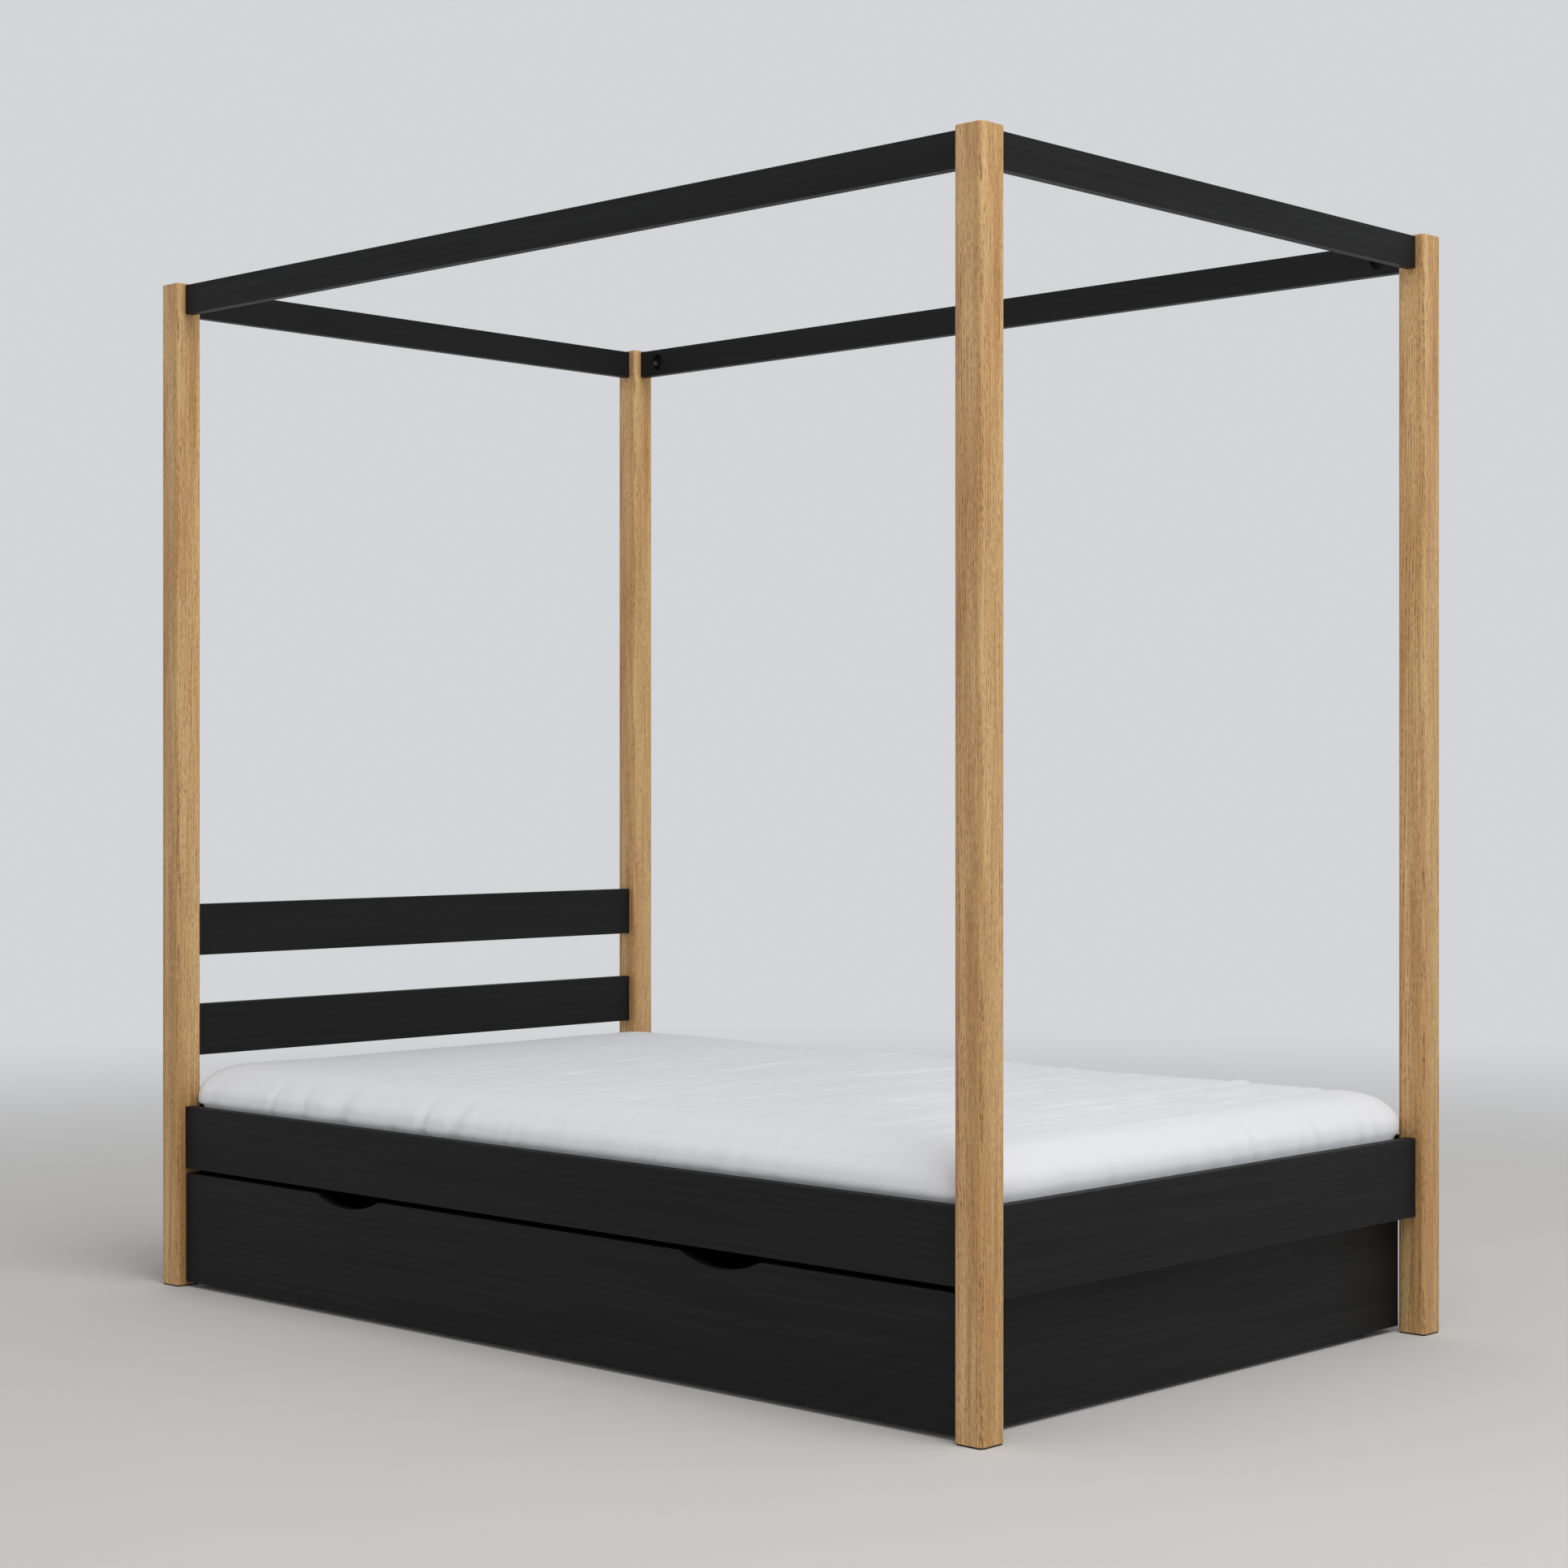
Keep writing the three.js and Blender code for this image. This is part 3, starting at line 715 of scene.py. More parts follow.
@dataclass(frozen=True)
class MouldedNylon(Finish):
    """Dark grey moulded nylon with a faint spark texture."""

    ground: Colour = (0.055, 0.055, 0.058)
    scuffed: Colour = (0.12, 0.12, 0.12)

    def make(self) -> bpy.types.Material:
        """Builds the texture and light scuffing."""
        s = Shader(self.name, 0.45, Specular_IOR_Level=0.4)
        spark = s.noise(s.place, 1500.0, 3.0)
        scuff = s.band(s.noise(s.place, 120.0, 4.0), 0.55, 0.72, 0.0, 0.6)
        s.paint(s.blend(scuff, self.ground, self.scuffed), s.band(spark, 0.3, 0.7, 0.38, 0.55))
        s.emboss(spark, 0.05 * MM)
        return s.material


@dataclass(frozen=True)
class PaleFloor(Finish):
    """A plain pale floor that fades into the surrounding light far from the bed."""

    pale: Colour = (0.67, 0.655, 0.63)
    paler: Colour = (0.71, 0.695, 0.67)
    fade: tuple[float, float] = (1.8, 6.5)

    def make(self) -> bpy.types.Material:
        """Builds a faint cloud of tone, and the glow that hides the floor's far edge."""
        s = Shader(self.name, 0.85, Specular_IOR_Level=0.15)
        s.paint(s.blend(s.noise(s.place, 1.5, 3.0), self.pale, self.paler))
        x, y, _ = s.split(s.place)
        reach = s.math("SQRT", s.math("ADD", s.math("POWER", x, 2.0), s.math("POWER", y, 2.0)))
        glow = s.add("ShaderNodeEmission", {"Color": (*SKY, 1.0)})
        share = s.band(reach, *self.fade)
        mixed = s.add("ShaderNodeMixShader", {0: share, 1: s.surface.outputs[0], 2: glow.outputs[0]})
        s.feed(s.output.inputs["Surface"], mixed.outputs[0])
        return s.material


STEEL = ZincPlate("zinc_plate")
PAINT = {axis: BlackPaint(f"black_paint_{axis.name.lower()}", axis=axis) for axis in Axis}
PINE = {axis: PlanedPine(f"planed_pine_{axis.name.lower()}", axis=axis) for axis in Axis}


# ---- Patterns ----


class ThreadedRod(Pattern):
    """A rod along +X from the origin, with a thread wound round it, turned and set in place."""

    title = "Threaded rod"
    inputs = {
        "Length": Kind.LENGTH,
        "Radius": Kind.LENGTH,
        "Pitch": Kind.LENGTH,
        "Place": Kind.PLACE,
        "Turn": Kind.PLACE,
    }

    def draw(self) -> Socket:
        """Adds the core and the thread."""
        g = self.given
        root = self.share(g["Radius"], 0.88)
        spiral = self.add(
            "GeometryNodeCurveSpiral",
            {
                "Resolution": 12,
                "Rotations": self.math("DIVIDE", g["Length"], g["Pitch"]),
                "Start Radius": root,
                "End Radius": root,
                "Height": g["Length"],
            },
        )
        crest = self.ring(self.share(g["Radius"], 0.12), 3)
        thread = self.add(
            "GeometryNodeCurveToMesh", {"Curve": spiral.outputs[0], "Profile Curve": crest, "Fill Caps": True}
        )
        core = self.prism(self.ring(root, 20), g["Length"])
        upright = self.both(core, thread.outputs[0])
        lying = self.moved(upright, turn=(0.0, math.pi / 2, 0.0))
        return self.moved(lying, g["Place"], g["Turn"])


class NutAndWasher(Pattern):
    """A hexagon nut and a half-moon washer on a rod along +X, about the middle of the recess."""

    title = "Nut and washer"
    inputs = {
        "Across": Kind.LENGTH,
        "Bore": Kind.LENGTH,
        "Nut thickness": Kind.LENGTH,
        "Washer radius": Kind.LENGTH,
        "Washer thickness": Kind.LENGTH,
        "Washer width": Kind.LENGTH,
        "Place": Kind.PLACE,
        "Turn": Kind.PLACE,
    }

    def draw(self) -> Socket:
        """Adds the nut, then the washer that is round against the wall and flat under the nut."""
        g = self.given
        seat = self.math("SUBTRACT", g["Washer radius"], g["Washer thickness"])
        corner = self.share(g["Across"], 1 / math.sqrt(3))
        outline = self.both(self.ring(corner, 6), self.ring(g["Bore"], 18))
        nut = self.prism(outline, g["Nut thickness"])
        start = self.math("SUBTRACT", seat, g["Nut thickness"])
        nut = self.moved(nut, self.join(start, 0.0, 0.0), (0.0, math.pi / 2, 0.0))
        spread = self.math("ARCCOSINE", self.math("DIVIDE", seat, g["Washer radius"]))
        arc = self.add(
            "GeometryNodeCurveArc",
            {
                "Resolution": 14,
                "Radius": g["Washer radius"],
                "Start Angle": self.share(spread, -1.0),
                "Sweep Angle": self.share(spread, 2.0),
            },
        )
        moon = self.add("GeometryNodeSetSplineCyclic", {"Geometry": arc.outputs[0], "Cyclic": True})
        washer = self.prism(moon.outputs[0], g["Washer width"])
        washer = self.moved(washer, self.join(0.0, 0.0, self.share(g["Washer width"], -0.5)))
        washer = self.moved(washer, turn=(math.pi / 2, 0.0, 0.0))
        return self.moved(self.both(nut, washer), g["Place"], g["Turn"])


class ScrewRow(Pattern):
    """Countersunk screw heads with a cross slot, in a row."""

    title = "Screw row"
    inputs = {
        "Count": Kind.COUNT,
        "Start": Kind.PLACE,
        "End": Kind.PLACE,
        "Turn": Kind.PLACE,
        "Radius": Kind.LENGTH,
        "Depth": Kind.LENGTH,
    }

    def draw(self) -> Socket:
        """Adds one slotted head and repeats it."""
        g = self.given
        head = self.prism(self.ring(g["Radius"], 20), g["Depth"])
        slots = []
        for turn in (math.radians(20), math.radians(110)):
            bar = self.add(
                "GeometryNodeCurvePrimitiveQuadrilateral",
                {0: self.share(g["Radius"], 1.15), 1: self.share(g["Radius"], 0.26)},
            )
            slot = self.prism(bar.outputs[0], g["Depth"])
            raised = self.join(0.0, 0.0, self.share(g["Depth"], 0.4))
            slots.append(self.moved(slot, raised, (0.0, 0.0, turn)))
        cut = self.add("GeometryNodeMeshBoolean", {"Mesh 1": head}, operation="DIFFERENCE")
        for slot in slots:
            self.tree.links.new(slot, cut.inputs["Mesh 2"])
        lowered = self.moved(cut.outputs[0], self.join(0.0, 0.0, self.share(g["Depth"], -0.8)))
        facing = self.moved(lowered, turn=g["Turn"])
        return self.repeat(self.row(g["Count"], g["Start"], g["End"]), facing)


class SlatRow(Pattern):
    """Slats across the bed, their long edges eased, each with a tone of its own."""

    title = "Slat row"
    inputs = {
        "Count": Kind.COUNT,
        "First": Kind.PLACE,
        "Last": Kind.PLACE,
        "Length": Kind.LENGTH,
        "Width": Kind.LENGTH,
        "Thickness": Kind.LENGTH,
        "Easing": Kind.LENGTH,
        "Seed": Kind.COUNT,
    }

    def draw(self) -> Socket:
        """Adds one slat along Y and repeats it."""
        g = self.given
        bar = self.add("GeometryNodeCurvePrimitiveQuadrilateral", {0: g["Width"], 1: g["Thickness"]})
        fillet = {"Curve": bar.outputs[0], "Radius": g["Easing"], "Count": 3}
        eased = self.add("GeometryNodeFilletCurve", fillet, mode="POLY")
        slat = self.prism(eased.outputs[0], g["Length"])
        slat = self.moved(slat, self.join(0.0, 0.0, self.share(g["Length"], -0.5)))
        slat = self.moved(slat, turn=(math.pi / 2, 0.0, 0.0))
        slats = self.repeat(self.row(g["Count"], g["First"], g["Last"]), slat)
        tone = self.add("FunctionNodeRandomValue", {"Seed": g["Seed"]}, data_type="FLOAT")
        return self.add(
            "GeometryNodeStoreNamedAttribute",
            {"Geometry": slats, "Name": "slat_tone", "Value": tone.outputs[1]},
            data_type="FLOAT",
            domain="INSTANCE",
        ).outputs[0]


class SlatTape(Pattern):
    """A woven tape along X that lies on the slats and dips a little between them."""

    title = "Slat tape"
    inputs = {
        "Middle": Kind.PLACE,
        "Length": Kind.LENGTH,
        "Width": Kind.LENGTH,
        "Thickness": Kind.LENGTH,
        "First slat": Kind.LENGTH,
        "Pitch": Kind.LENGTH,
        "Slat width": Kind.LENGTH,
        "Dip": Kind.LENGTH,
    }

    def draw(self) -> Socket:
        """Adds a strip with its own map, and lowers it between the slats."""
        g = self.given
        strip = self.add(
            "GeometryNodeMeshGrid",
            {"Size X": g["Length"], "Size Y": g["Width"], "Vertices X": 340, "Vertices Y": 4},
        )
        spot = self.add("GeometryNodeInputPosition").outputs[0]
        mapped = self.add(
            "GeometryNodeStoreNamedAttribute",
            {"Geometry": strip.outputs[0], "Name": "tape", "Value": spot},
            data_type="FLOAT2",
            domain="CORNER",
        )
        body = self.moved(self.thick(mapped.outputs[0], g["Thickness"]), g["Middle"])
        x = self.split(self.add("GeometryNodeInputPosition").outputs[0])[0]
        turns = self.math("DIVIDE", self.math("SUBTRACT", x, g["First slat"]), g["Pitch"])
        nearest = self.math("FRACT", self.math("ADD", turns, 20.5))
        off = self.math("ABSOLUTE", self.math("SUBTRACT", nearest, 0.5))
        edge = self.math("DIVIDE", self.share(g["Slat width"], 0.5), g["Pitch"])
        past = self.math("SUBTRACT", off, edge)
        share = self.math("DIVIDE", past, self.math("SUBTRACT", 0.5, edge), clamp=True)
        drop = self.math("MULTIPLY", self.math("SMOOTH_MIN", share, 0.8, 0.4), g["Dip"])
        offset = self.join(0.0, 0.0, self.share(drop, -1.0))
        return self.add("GeometryNodeSetPosition", {"Geometry": body, "Offset": offset}).outputs[0]


class StapleRow(Pattern):
    """Pairs of wire staples that hold a tape to each slat."""

    title = "Staple row"
    inputs = {
        "Count": Kind.COUNT,
        "First": Kind.PLACE,
        "Last": Kind.PLACE,
        "Spread": Kind.LENGTH,
        "Wire": Kind.LENGTH,
        "Bow": Kind.LENGTH,
    }

    def draw(self) -> Socket:
        """Adds a pair of bowed wires and repeats it."""
        g = self.given
        arc = self.add(
            "GeometryNodeCurveArc",
            {
                "Resolution": 8,
                "Radius": g["Bow"],
                "Start Angle": math.radians(58),
                "Sweep Angle": math.radians(64),
            },
        )
        wire = self.add(
            "GeometryNodeCurveToMesh",
            {"Curve": arc.outputs[0], "Profile Curve": self.ring(g["Wire"], 6), "Fill Caps": True},
        )
        standing = self.moved(wire.outputs[0], turn=(math.pi / 2, 0.0, math.pi / 2))
        lowered = self.moved(standing, self.join(0.0, 0.0, self.share(g["Bow"], -0.93)))
        half = self.share(g["Spread"], 0.5)
        pair = self.both(
            self.moved(lowered, self.join(half, 0.0, 0.0)),
            self.moved(lowered, self.join(self.share(half, -1.0), 0.0, 0.0)),
        )
        return self.repeat(self.row(g["Count"], g["First"], g["Last"]), pair)


class SpokeRing(Pattern):
    """Ribs between a wheel's hub and its rim, about the X axis."""

    title = "Spoke ring"
    inputs = {
        "Count": Kind.COUNT,
        "Inner": Kind.LENGTH,
        "Outer": Kind.LENGTH,
        "Thickness": Kind.LENGTH,
        "Width": Kind.LENGTH,
        "Place": Kind.PLACE,
    }

    def draw(self) -> Socket:
        """Adds one rib and repeats it round the axle."""
        g = self.given
        length = self.math("SUBTRACT", g["Outer"], g["Inner"])
        middle = self.share(self.math("ADD", g["Outer"], g["Inner"]), 0.5)
        bar = self.add("GeometryNodeCurvePrimitiveQuadrilateral", {0: length, 1: g["Thickness"]})
        rib = self.prism(bar.outputs[0], g["Width"])
        rib = self.moved(rib, self.join(middle, 0.0, self.share(g["Width"], -0.5)))
        index = self.add("GeometryNodeInputIndex").outputs[0]
        angle = self.math("DIVIDE", self.math("MULTIPLY", index, math.tau), g["Count"])
        points = self.row(g["Count"], (0.0, 0.0, 0.0), (0.0, 0.0, 0.0))
        ring = self.repeat(points, rib, self.join(0.0, 0.0, angle))
        return self.moved(ring, g["Place"], (0.0, math.pi / 2, 0.0))


# ---- Posts ----


@dataclass(frozen=True)
class RailEnd:
    """Where one end of a side rail is bolted to its post: recess, hole, rod, nut and washer."""

    corner: Corner
    level: str
    depth: float = 30 * MM
    setback: float = 53 * MM
    radius: float = 17.5 * MM
    recess_steps: int = 64
    hole: float = 4.5 * MM
    hole_steps: int = 24
    rod: float = 4.0 * MM
    pitch: float = 1.25 * MM
    tail: float = 9 * MM
    floor: float = 5 * MM
    chamfer: float = 0.8 * MM
    lap: float = 2 * MM
    end_room: float = 1 * MM
    nut_across: float = 13 * MM
    nut_thickness: float = 5 * MM
    washer_thickness: float = 2.6 * MM
    washer_width: float = 8.6 * MM
    washer_room: float = 0.1 * MM
    thread_sharp: float = 50.0

    @classmethod
    def all(cls) -> list["RailEnd"]:
        """Both ends of the four side rails, two of them at the canopy."""
        return [cls(corner, level) for corner in Corner for level in ("canopy", "side")]

    @property
    def rail(self) -> str:
        """The CAD node of the rail."""
        return f"{self.level}_rail_{self.corner.side}"

    @property
    def bolt(self) -> str:
        """The CAD node of the bolt."""
        return f"bolt_{self.level}_rail_{self.corner.label}"

    @property
    def towards(self) -> Vector:
        """The direction of the post."""
        return Vector((self.corner.value[0], 0, 0))

    @property
    def opens(self) -> Vector:
        """The direction that the recess opens in."""
        return Vector((0, -self.corner.value[1], 0))

    def origin(self) -> Vector:
        """The middle of the recess, on the rail's middle plane and at the bolt's height."""
        low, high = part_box(self.rail)
        half = abs((high - low).dot(self.towards)) / 2
        middle = (low + high) / 2 + self.towards * (half - self.setback)
        bolt_low, bolt_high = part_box(self.bolt)
        return Vector((middle.x, middle.y, (bolt_low.z + bolt_high.z) / 2))

    def frame(self) -> Matrix:
        """The matrix of axes that point at the post, out of the recess, and across both."""
        axes = Matrix((self.towards, self.opens, self.towards.cross(self.opens))).transposed()
        return Matrix.Translation(self.origin()) @ axes.to_4x4()

    def along(self, start: float, end: float, radius: float, name: str) -> Piece:
        """A round cutter along the bolt, between two distances from the recess's middle."""
        shape = turned([(0.0, start), (radius, start), (radius, end), (0.0, end)], self.hole_steps)
        return from_bmesh(name, shape, self.frame() @ Matrix.Rotation(math.pi / 2, 4, "Y"))

    def rail_cutters(self) -> list[Piece]:
        """The recess with its eased rim, and the hole to the rail's end."""
        low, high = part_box(self.rail)
        face = abs((high - low).dot(self.opens)) / 2
        rim = self.radius + 2 * self.chamfer
        profile = [
            (0.0, -self.floor),
            (self.radius, -self.floor),
            (self.radius, face - self.chamfer),
            (rim, face + self.chamfer),
            (0.0, face + self.chamfer),
        ]
        spin = Matrix.Rotation(-math.pi / 2, 4, "X")
        recess = from_bmesh("recess", turned(profile, self.recess_steps), self.frame() @ spin)
        return [recess, self.along(0.0, self.setback + self.lap, self.hole, "bolt_hole")]

    def post_cutter(self) -> Piece:
        """The blind hole in the post."""
        return self.along(self.setback - self.lap, self.setback + self.depth, self.hole, "post_hole")

    def fixings(self, rods: ThreadedRod, nuts: NutAndWasher) -> None:
        """Makes the rod, and the nut and washer on it.

        Args:
            rods: The pattern of the rod.
            nuts: The pattern of the nut and washer.
        """
        name = f"{self.level}_{self.corner.label}"
        turn = tuple(self.frame().to_euler())
        start = self.radius - self.tail
        rod = rods.make(
            f"threaded_bolt_{name}",
            STEEL,
            Length=self.setback + self.depth - self.end_room - start,
            Radius=self.rod,
            Pitch=self.pitch,
            Place=tuple(self.frame() @ Vector((start, 0.0, 0.0))),
            Turn=turn,
        )
        nut = nuts.make(
            f"nut_and_washer_{name}",
            STEEL,
            Across=self.nut_across,
            Bore=self.rod,
            Nut_thickness=self.nut_thickness,
            Washer_radius=self.radius - self.washer_room,
            Washer_thickness=self.washer_thickness,
            Washer_width=self.washer_width,
            Place=tuple(self.origin()),
            Turn=turn,
        )
        smooth(rod, self.thread_sharp)
        settle(rod, BED, [self.bolt])
        settle(nut, BED)


@dataclass
class Posts:
    """The four oak posts, and the felt pads they stand on."""

    corner_radius: float = 8 * MM
    end_rounding: float = 2 * MM
    corner_steps: int = 9
    end_steps: int = 4
    pad_inset: float = 1.5 * MM
    pad_rounding: float = 0.4 * MM
    piths: dict[Corner, tuple[tuple[float, float], tuple[float, float]]] = field(
        default_factory=lambda: {
            Corner.FOOT_NEAR: ((-0.120, 0.115), (0.006, -0.004)),
            Corner.FOOT_FAR: ((-0.105, 0.130), (-0.005, 0.005)),
            Corner.HEAD_NEAR: ((-0.130, 0.110), (0.004, 0.004)),
            Corner.HEAD_FAR: ((-0.110, 0.140), (0.004, -0.006)),
        }
    )

    def build(self, ends: Sequence[RailEnd]) -> None:
        """Makes and dresses every post and pad.

        Args:
            ends: The bolted rail ends, whose bolts go into the posts.
        """
        felt = PressedFelt("pressed_felt")
        for corner in Corner:
            node = f"post_{corner.label}"
            low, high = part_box(node)
            post = self.block(f"oak_{node}", node, self.corner_radius, self.end_rounding)
            carve(post, [end.post_cutter() for end in ends if end.corner is corner])
            middle = (low + high) / 2
            pith, lean = self.piths[corner]
            centre = (middle.x, middle.y)
            OiledOak(f"oiled_oak_{corner.label}", centre=centre, pith=pith, lean=lean).dress(post)
            smooth(post)
            settle(post, BED, [node])
            LOG.info("%s is %.0f mm square", node, (high.x - low.x) / MM)

            node = f"glide_{corner.label}"
            radius = self.corner_radius - self.pad_inset
            pad = self.block(f"felt_pad_{corner.label}", node, radius, self.pad_rounding)
            felt.dress(pad)
            smooth(pad)
            settle(pad, BED, [node])

    def block(self, name: str, node: str, radius: float, easing: float) -> Piece:
        """An upright block in a CAD node's place, with round corners and eased ends."""
        low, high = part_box(node)
        half = (high - low) / 2
        middle = (high + low) / 2
        rings = rounded_rings(low.z, high.z, easing, easing, self.end_steps)
        shape = loft((half.x, half.y), radius, rings, self.corner_steps)
        return from_bmesh(name, shape, Matrix.Translation((middle.x, middle.y, 0.0)))


# ---- Boards ----


@dataclass
class Board:
    """One board in the place of its CAD node, its edges eased."""

    node: str
    name: str
    easing: float = 1.5 * MM
    body: str = BED
    finish: Finish | None = None
    cutters: Sequence[Piece] = ()
    ease_cuts: bool = False
    easing_steps: int = 3
    sharp_degrees: float = 20.0
    # How close to an edge a vertex takes the painted highlight, as a share of the easing.
    worn_share: float = 0.9

    def grain(self) -> Axis:
        """The axis of the board's longest side."""
        low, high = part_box(self.node)
        size = high - low
        return Axis(max(range(3), key=lambda k: size[k]))

    def build(self) -> Piece:
        """Makes the board, takes its cutters out of it, and dresses it."""
        low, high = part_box(self.node)
        shape = cuboid(low, high)
        if not self.ease_cuts:
            settings = {"offset": self.easing, "segments": self.easing_steps, "profile": 0.5}
            bmesh.ops.bevel(shape, geom=shape.edges[:], affect="EDGES", **settings)
        board = from_bmesh(self.name, shape)
        carve(board, self.cutters)
        if self.ease_cuts:
            bevel = board.modifiers.new("eased", "BEVEL")
            bevel.width, bevel.segments, bevel.limit_method = self.easing, self.easing_steps, "ANGLE"
            bevel.angle_limit = math.radians(self.sharp_degrees)
            bake(board)
        (self.finish or PAINT[self.grain()]).dress(board)
        smooth(board)
        self.mark_worn(board, low, high)
        return settle(board, self.body, [self.node])

    def mark_worn(self, board: Piece, low: Vector, high: Vector) -> None:
        """Marks the eased edges, which take the painted highlight.

        Args:
            board: The board.
            low: Its lowest corner.
            high: Its highest corner.
        """
        mesh = board.data
        spots = rows_of(mesh.vertices, "co")
        inside = np.minimum(np.abs(spots - np.array(low)), np.abs(spots - np.array(high)))
        second = np.sort(inside, axis=1)[:, 1]
        # Vertices on the eased edges carry the painted highlight.
        worn = (second < self.worn_share * self.easing).astype(np.float32)
        mesh.attributes.new("worn", "FLOAT", "POINT").data.foreach_set("value", worn)


@dataclass
class Rails:
    """The bolted side rails, and the plain boards glued between the posts at each end."""

    end_boards: tuple[str, ...] = (
        "canopy_rail_head",
        "canopy_rail_foot",
        "head_rail",
        "foot_rail",
        "headboard_lower",
        "headboard_upper",
    )

    def build(self, ends: Sequence[RailEnd]) -> None:
        """Makes the side rails with their recesses, the fixings in them, and the end boards.

        Args:
            ends: The bolted rail ends.
        """
        for rail in dict.fromkeys(end.rail for end in ends):
            cutters = [cutter for end in ends if end.rail == rail for cutter in end.rail_cutters()]
            Board(rail, f"painted_{rail}", cutters=cutters).build()
        for node in self.end_boards:
            Board(node, f"painted_{node}").build()
        rods, nuts = ThreadedRod(), NutAndWasher()
        for end in ends:
            end.fixings(rods, nuts)


# ---- Slatted base ----


@dataclass
class SlattedBase:
    """Ledgers screwed to the side rails, slats on them, and the tapes that join the slats."""

    slats: tuple[str, ...] = tuple(f"slat_{number:02d}" for number in range(1, 14))
    slat_easing: float = 3 * MM
    ledger_easing: float = 2 * MM
    screws: int = 8
    screw_radius: float = 4.2 * MM
    screw_depth: float = 1.8 * MM
    screw_from_end: float = 60 * MM
    dip: float = 2.5 * MM
    staple_spread: float = 44 * MM
    staple_wire: float = 0.45 * MM
    staple_bow: float = 9 * MM
    staple_lift: float = 0.1 * MM
    seed: int = 7

    def build(self) -> None:
        """Makes every piece of the base."""
        low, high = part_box(self.slats[0])
        first, last = ((a + b) / 2 for a, b in (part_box(self.slats[0]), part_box(self.slats[-1])))
        row = SlatRow().make(
            "slat_row",
            PINE[Axis.Y],
            Count=len(self.slats),
            First=tuple(first),
            Last=tuple(last),
            Length=high.y - low.y,
            Width=high.x - low.x,
            Thickness=high.z - low.z,
            Easing=self.slat_easing,
            Seed=self.seed,
        )
        smooth(row)
        settle(row, BED, self.slats)
        screws, tapes, staples = ScrewRow(), SlatTape(), StapleRow()
        for side, sign in (("near", -1), ("far", 1)):
            ledger = Board(f"slat_ledger_{side}", f"painted_ledger_{side}", easing=self.ledger_easing)
            ledger.build()
            self.ledger_screws(side, sign, screws)
            self.tape(side, first, last, tapes, high.x - low.x)
            self.tape_staples(side, first, last, staples)

    def tape(self, side: str, first: Vector, last: Vector, tapes: SlatTape, slat_width: float) -> None:
        """Lays the tape that joins the slats near one side.

        Args:
            side: Near or far.
            first: The middle of the first slat.
            last: The middle of the last slat.
            tapes: The pattern of the tape.
            slat_width: The width of a slat.
        """
        low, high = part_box(f"slat_webbing_{side}")
        tape = tapes.make(
            f"slat_tape_{side}",
            TwillTape("twill_tape"),
            Middle=((low.x + high.x) / 2, (low.y + high.y) / 2, low.z),
            Length=high.x - low.x,
            Width=high.y - low.y,
            Thickness=high.z - low.z,
            First_slat=first.x,
            Pitch=(last.x - first.x) / (len(self.slats) - 1),
            Slat_width=slat_width,
            Dip=self.dip,
        )
        smooth(tape)
        settle(tape, BED, [f"slat_webbing_{side}"])

    def tape_staples(self, side: str, first: Vector, last: Vector, staples: StapleRow) -> None:
        """Sets a pair of staples over every slat in one tape.

        Args:
            side: Near or far.
            first: The middle of the first slat.
            last: The middle of the last slat.
            staples: The pattern of the row.
        """
        low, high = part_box(f"slat_webbing_{side}")
        middle, height = (low.y + high.y) / 2, high.z + self.staple_lift
        pins = staples.make(
            f"tape_staples_{side}",
            STEEL,
            Count=len(self.slats),
            First=(first.x, middle, height),
            Last=(last.x, middle, height),
            Spread=self.staple_spread,
            Wire=self.staple_wire,
            Bow=self.staple_bow,
        )
        smooth(pins)
        settle(pins, BED)

    def ledger_screws(self, side: str, sign: int, screws: ScrewRow) -> None:
        """Sets a row of screw heads in one ledger's inner face.

        Args:
            side: Near or far.
            sign: That side's sign along Y.
            screws: The pattern of the row.
        """
        low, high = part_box(f"slat_ledger_{side}")
        face = low.y if sign > 0 else high.y
        height = (low.z + high.z) / 2
        row = screws.make(
            f"ledger_screws_{side}",
            STEEL,
            Count=self.screws,
            Start=(low.x + self.screw_from_end, face, height),
            End=(high.x - self.screw_from_end, face, height),
            Turn=(sign * math.pi / 2, 0.0, 0.0),
            Radius=self.screw_radius,
            Depth=self.screw_depth,
        )
        smooth(row)
        settle(row, BED)


# ---- Mattress ----


@dataclass(frozen=True)
class Crease:
    """One long shallow crease: its middle, the way it runs, and its half-length and half-width."""

    middle: tuple[float, float]
    heading: float
    reach: float
    width: float

    def measured(self, spots: np.ndarray) -> tuple[np.ndarray, np.ndarray]:
        """How far along the crease, and how far across it, each point lies."""
        x, y = spots[:, 0] - self.middle[0], spots[:, 1] - self.middle[1]
        cosine, sine = math.cos(self.heading), math.sin(self.heading)
        return x * cosine + y * sine, y * cosine - x * sine


def ripple(across: np.ndarray) -> np.ndarray:
    """A ridge between two shallow dips, for distances in half-widths from its crest."""
    return (1 - across**2) * np.exp(-(across**2) / 2)


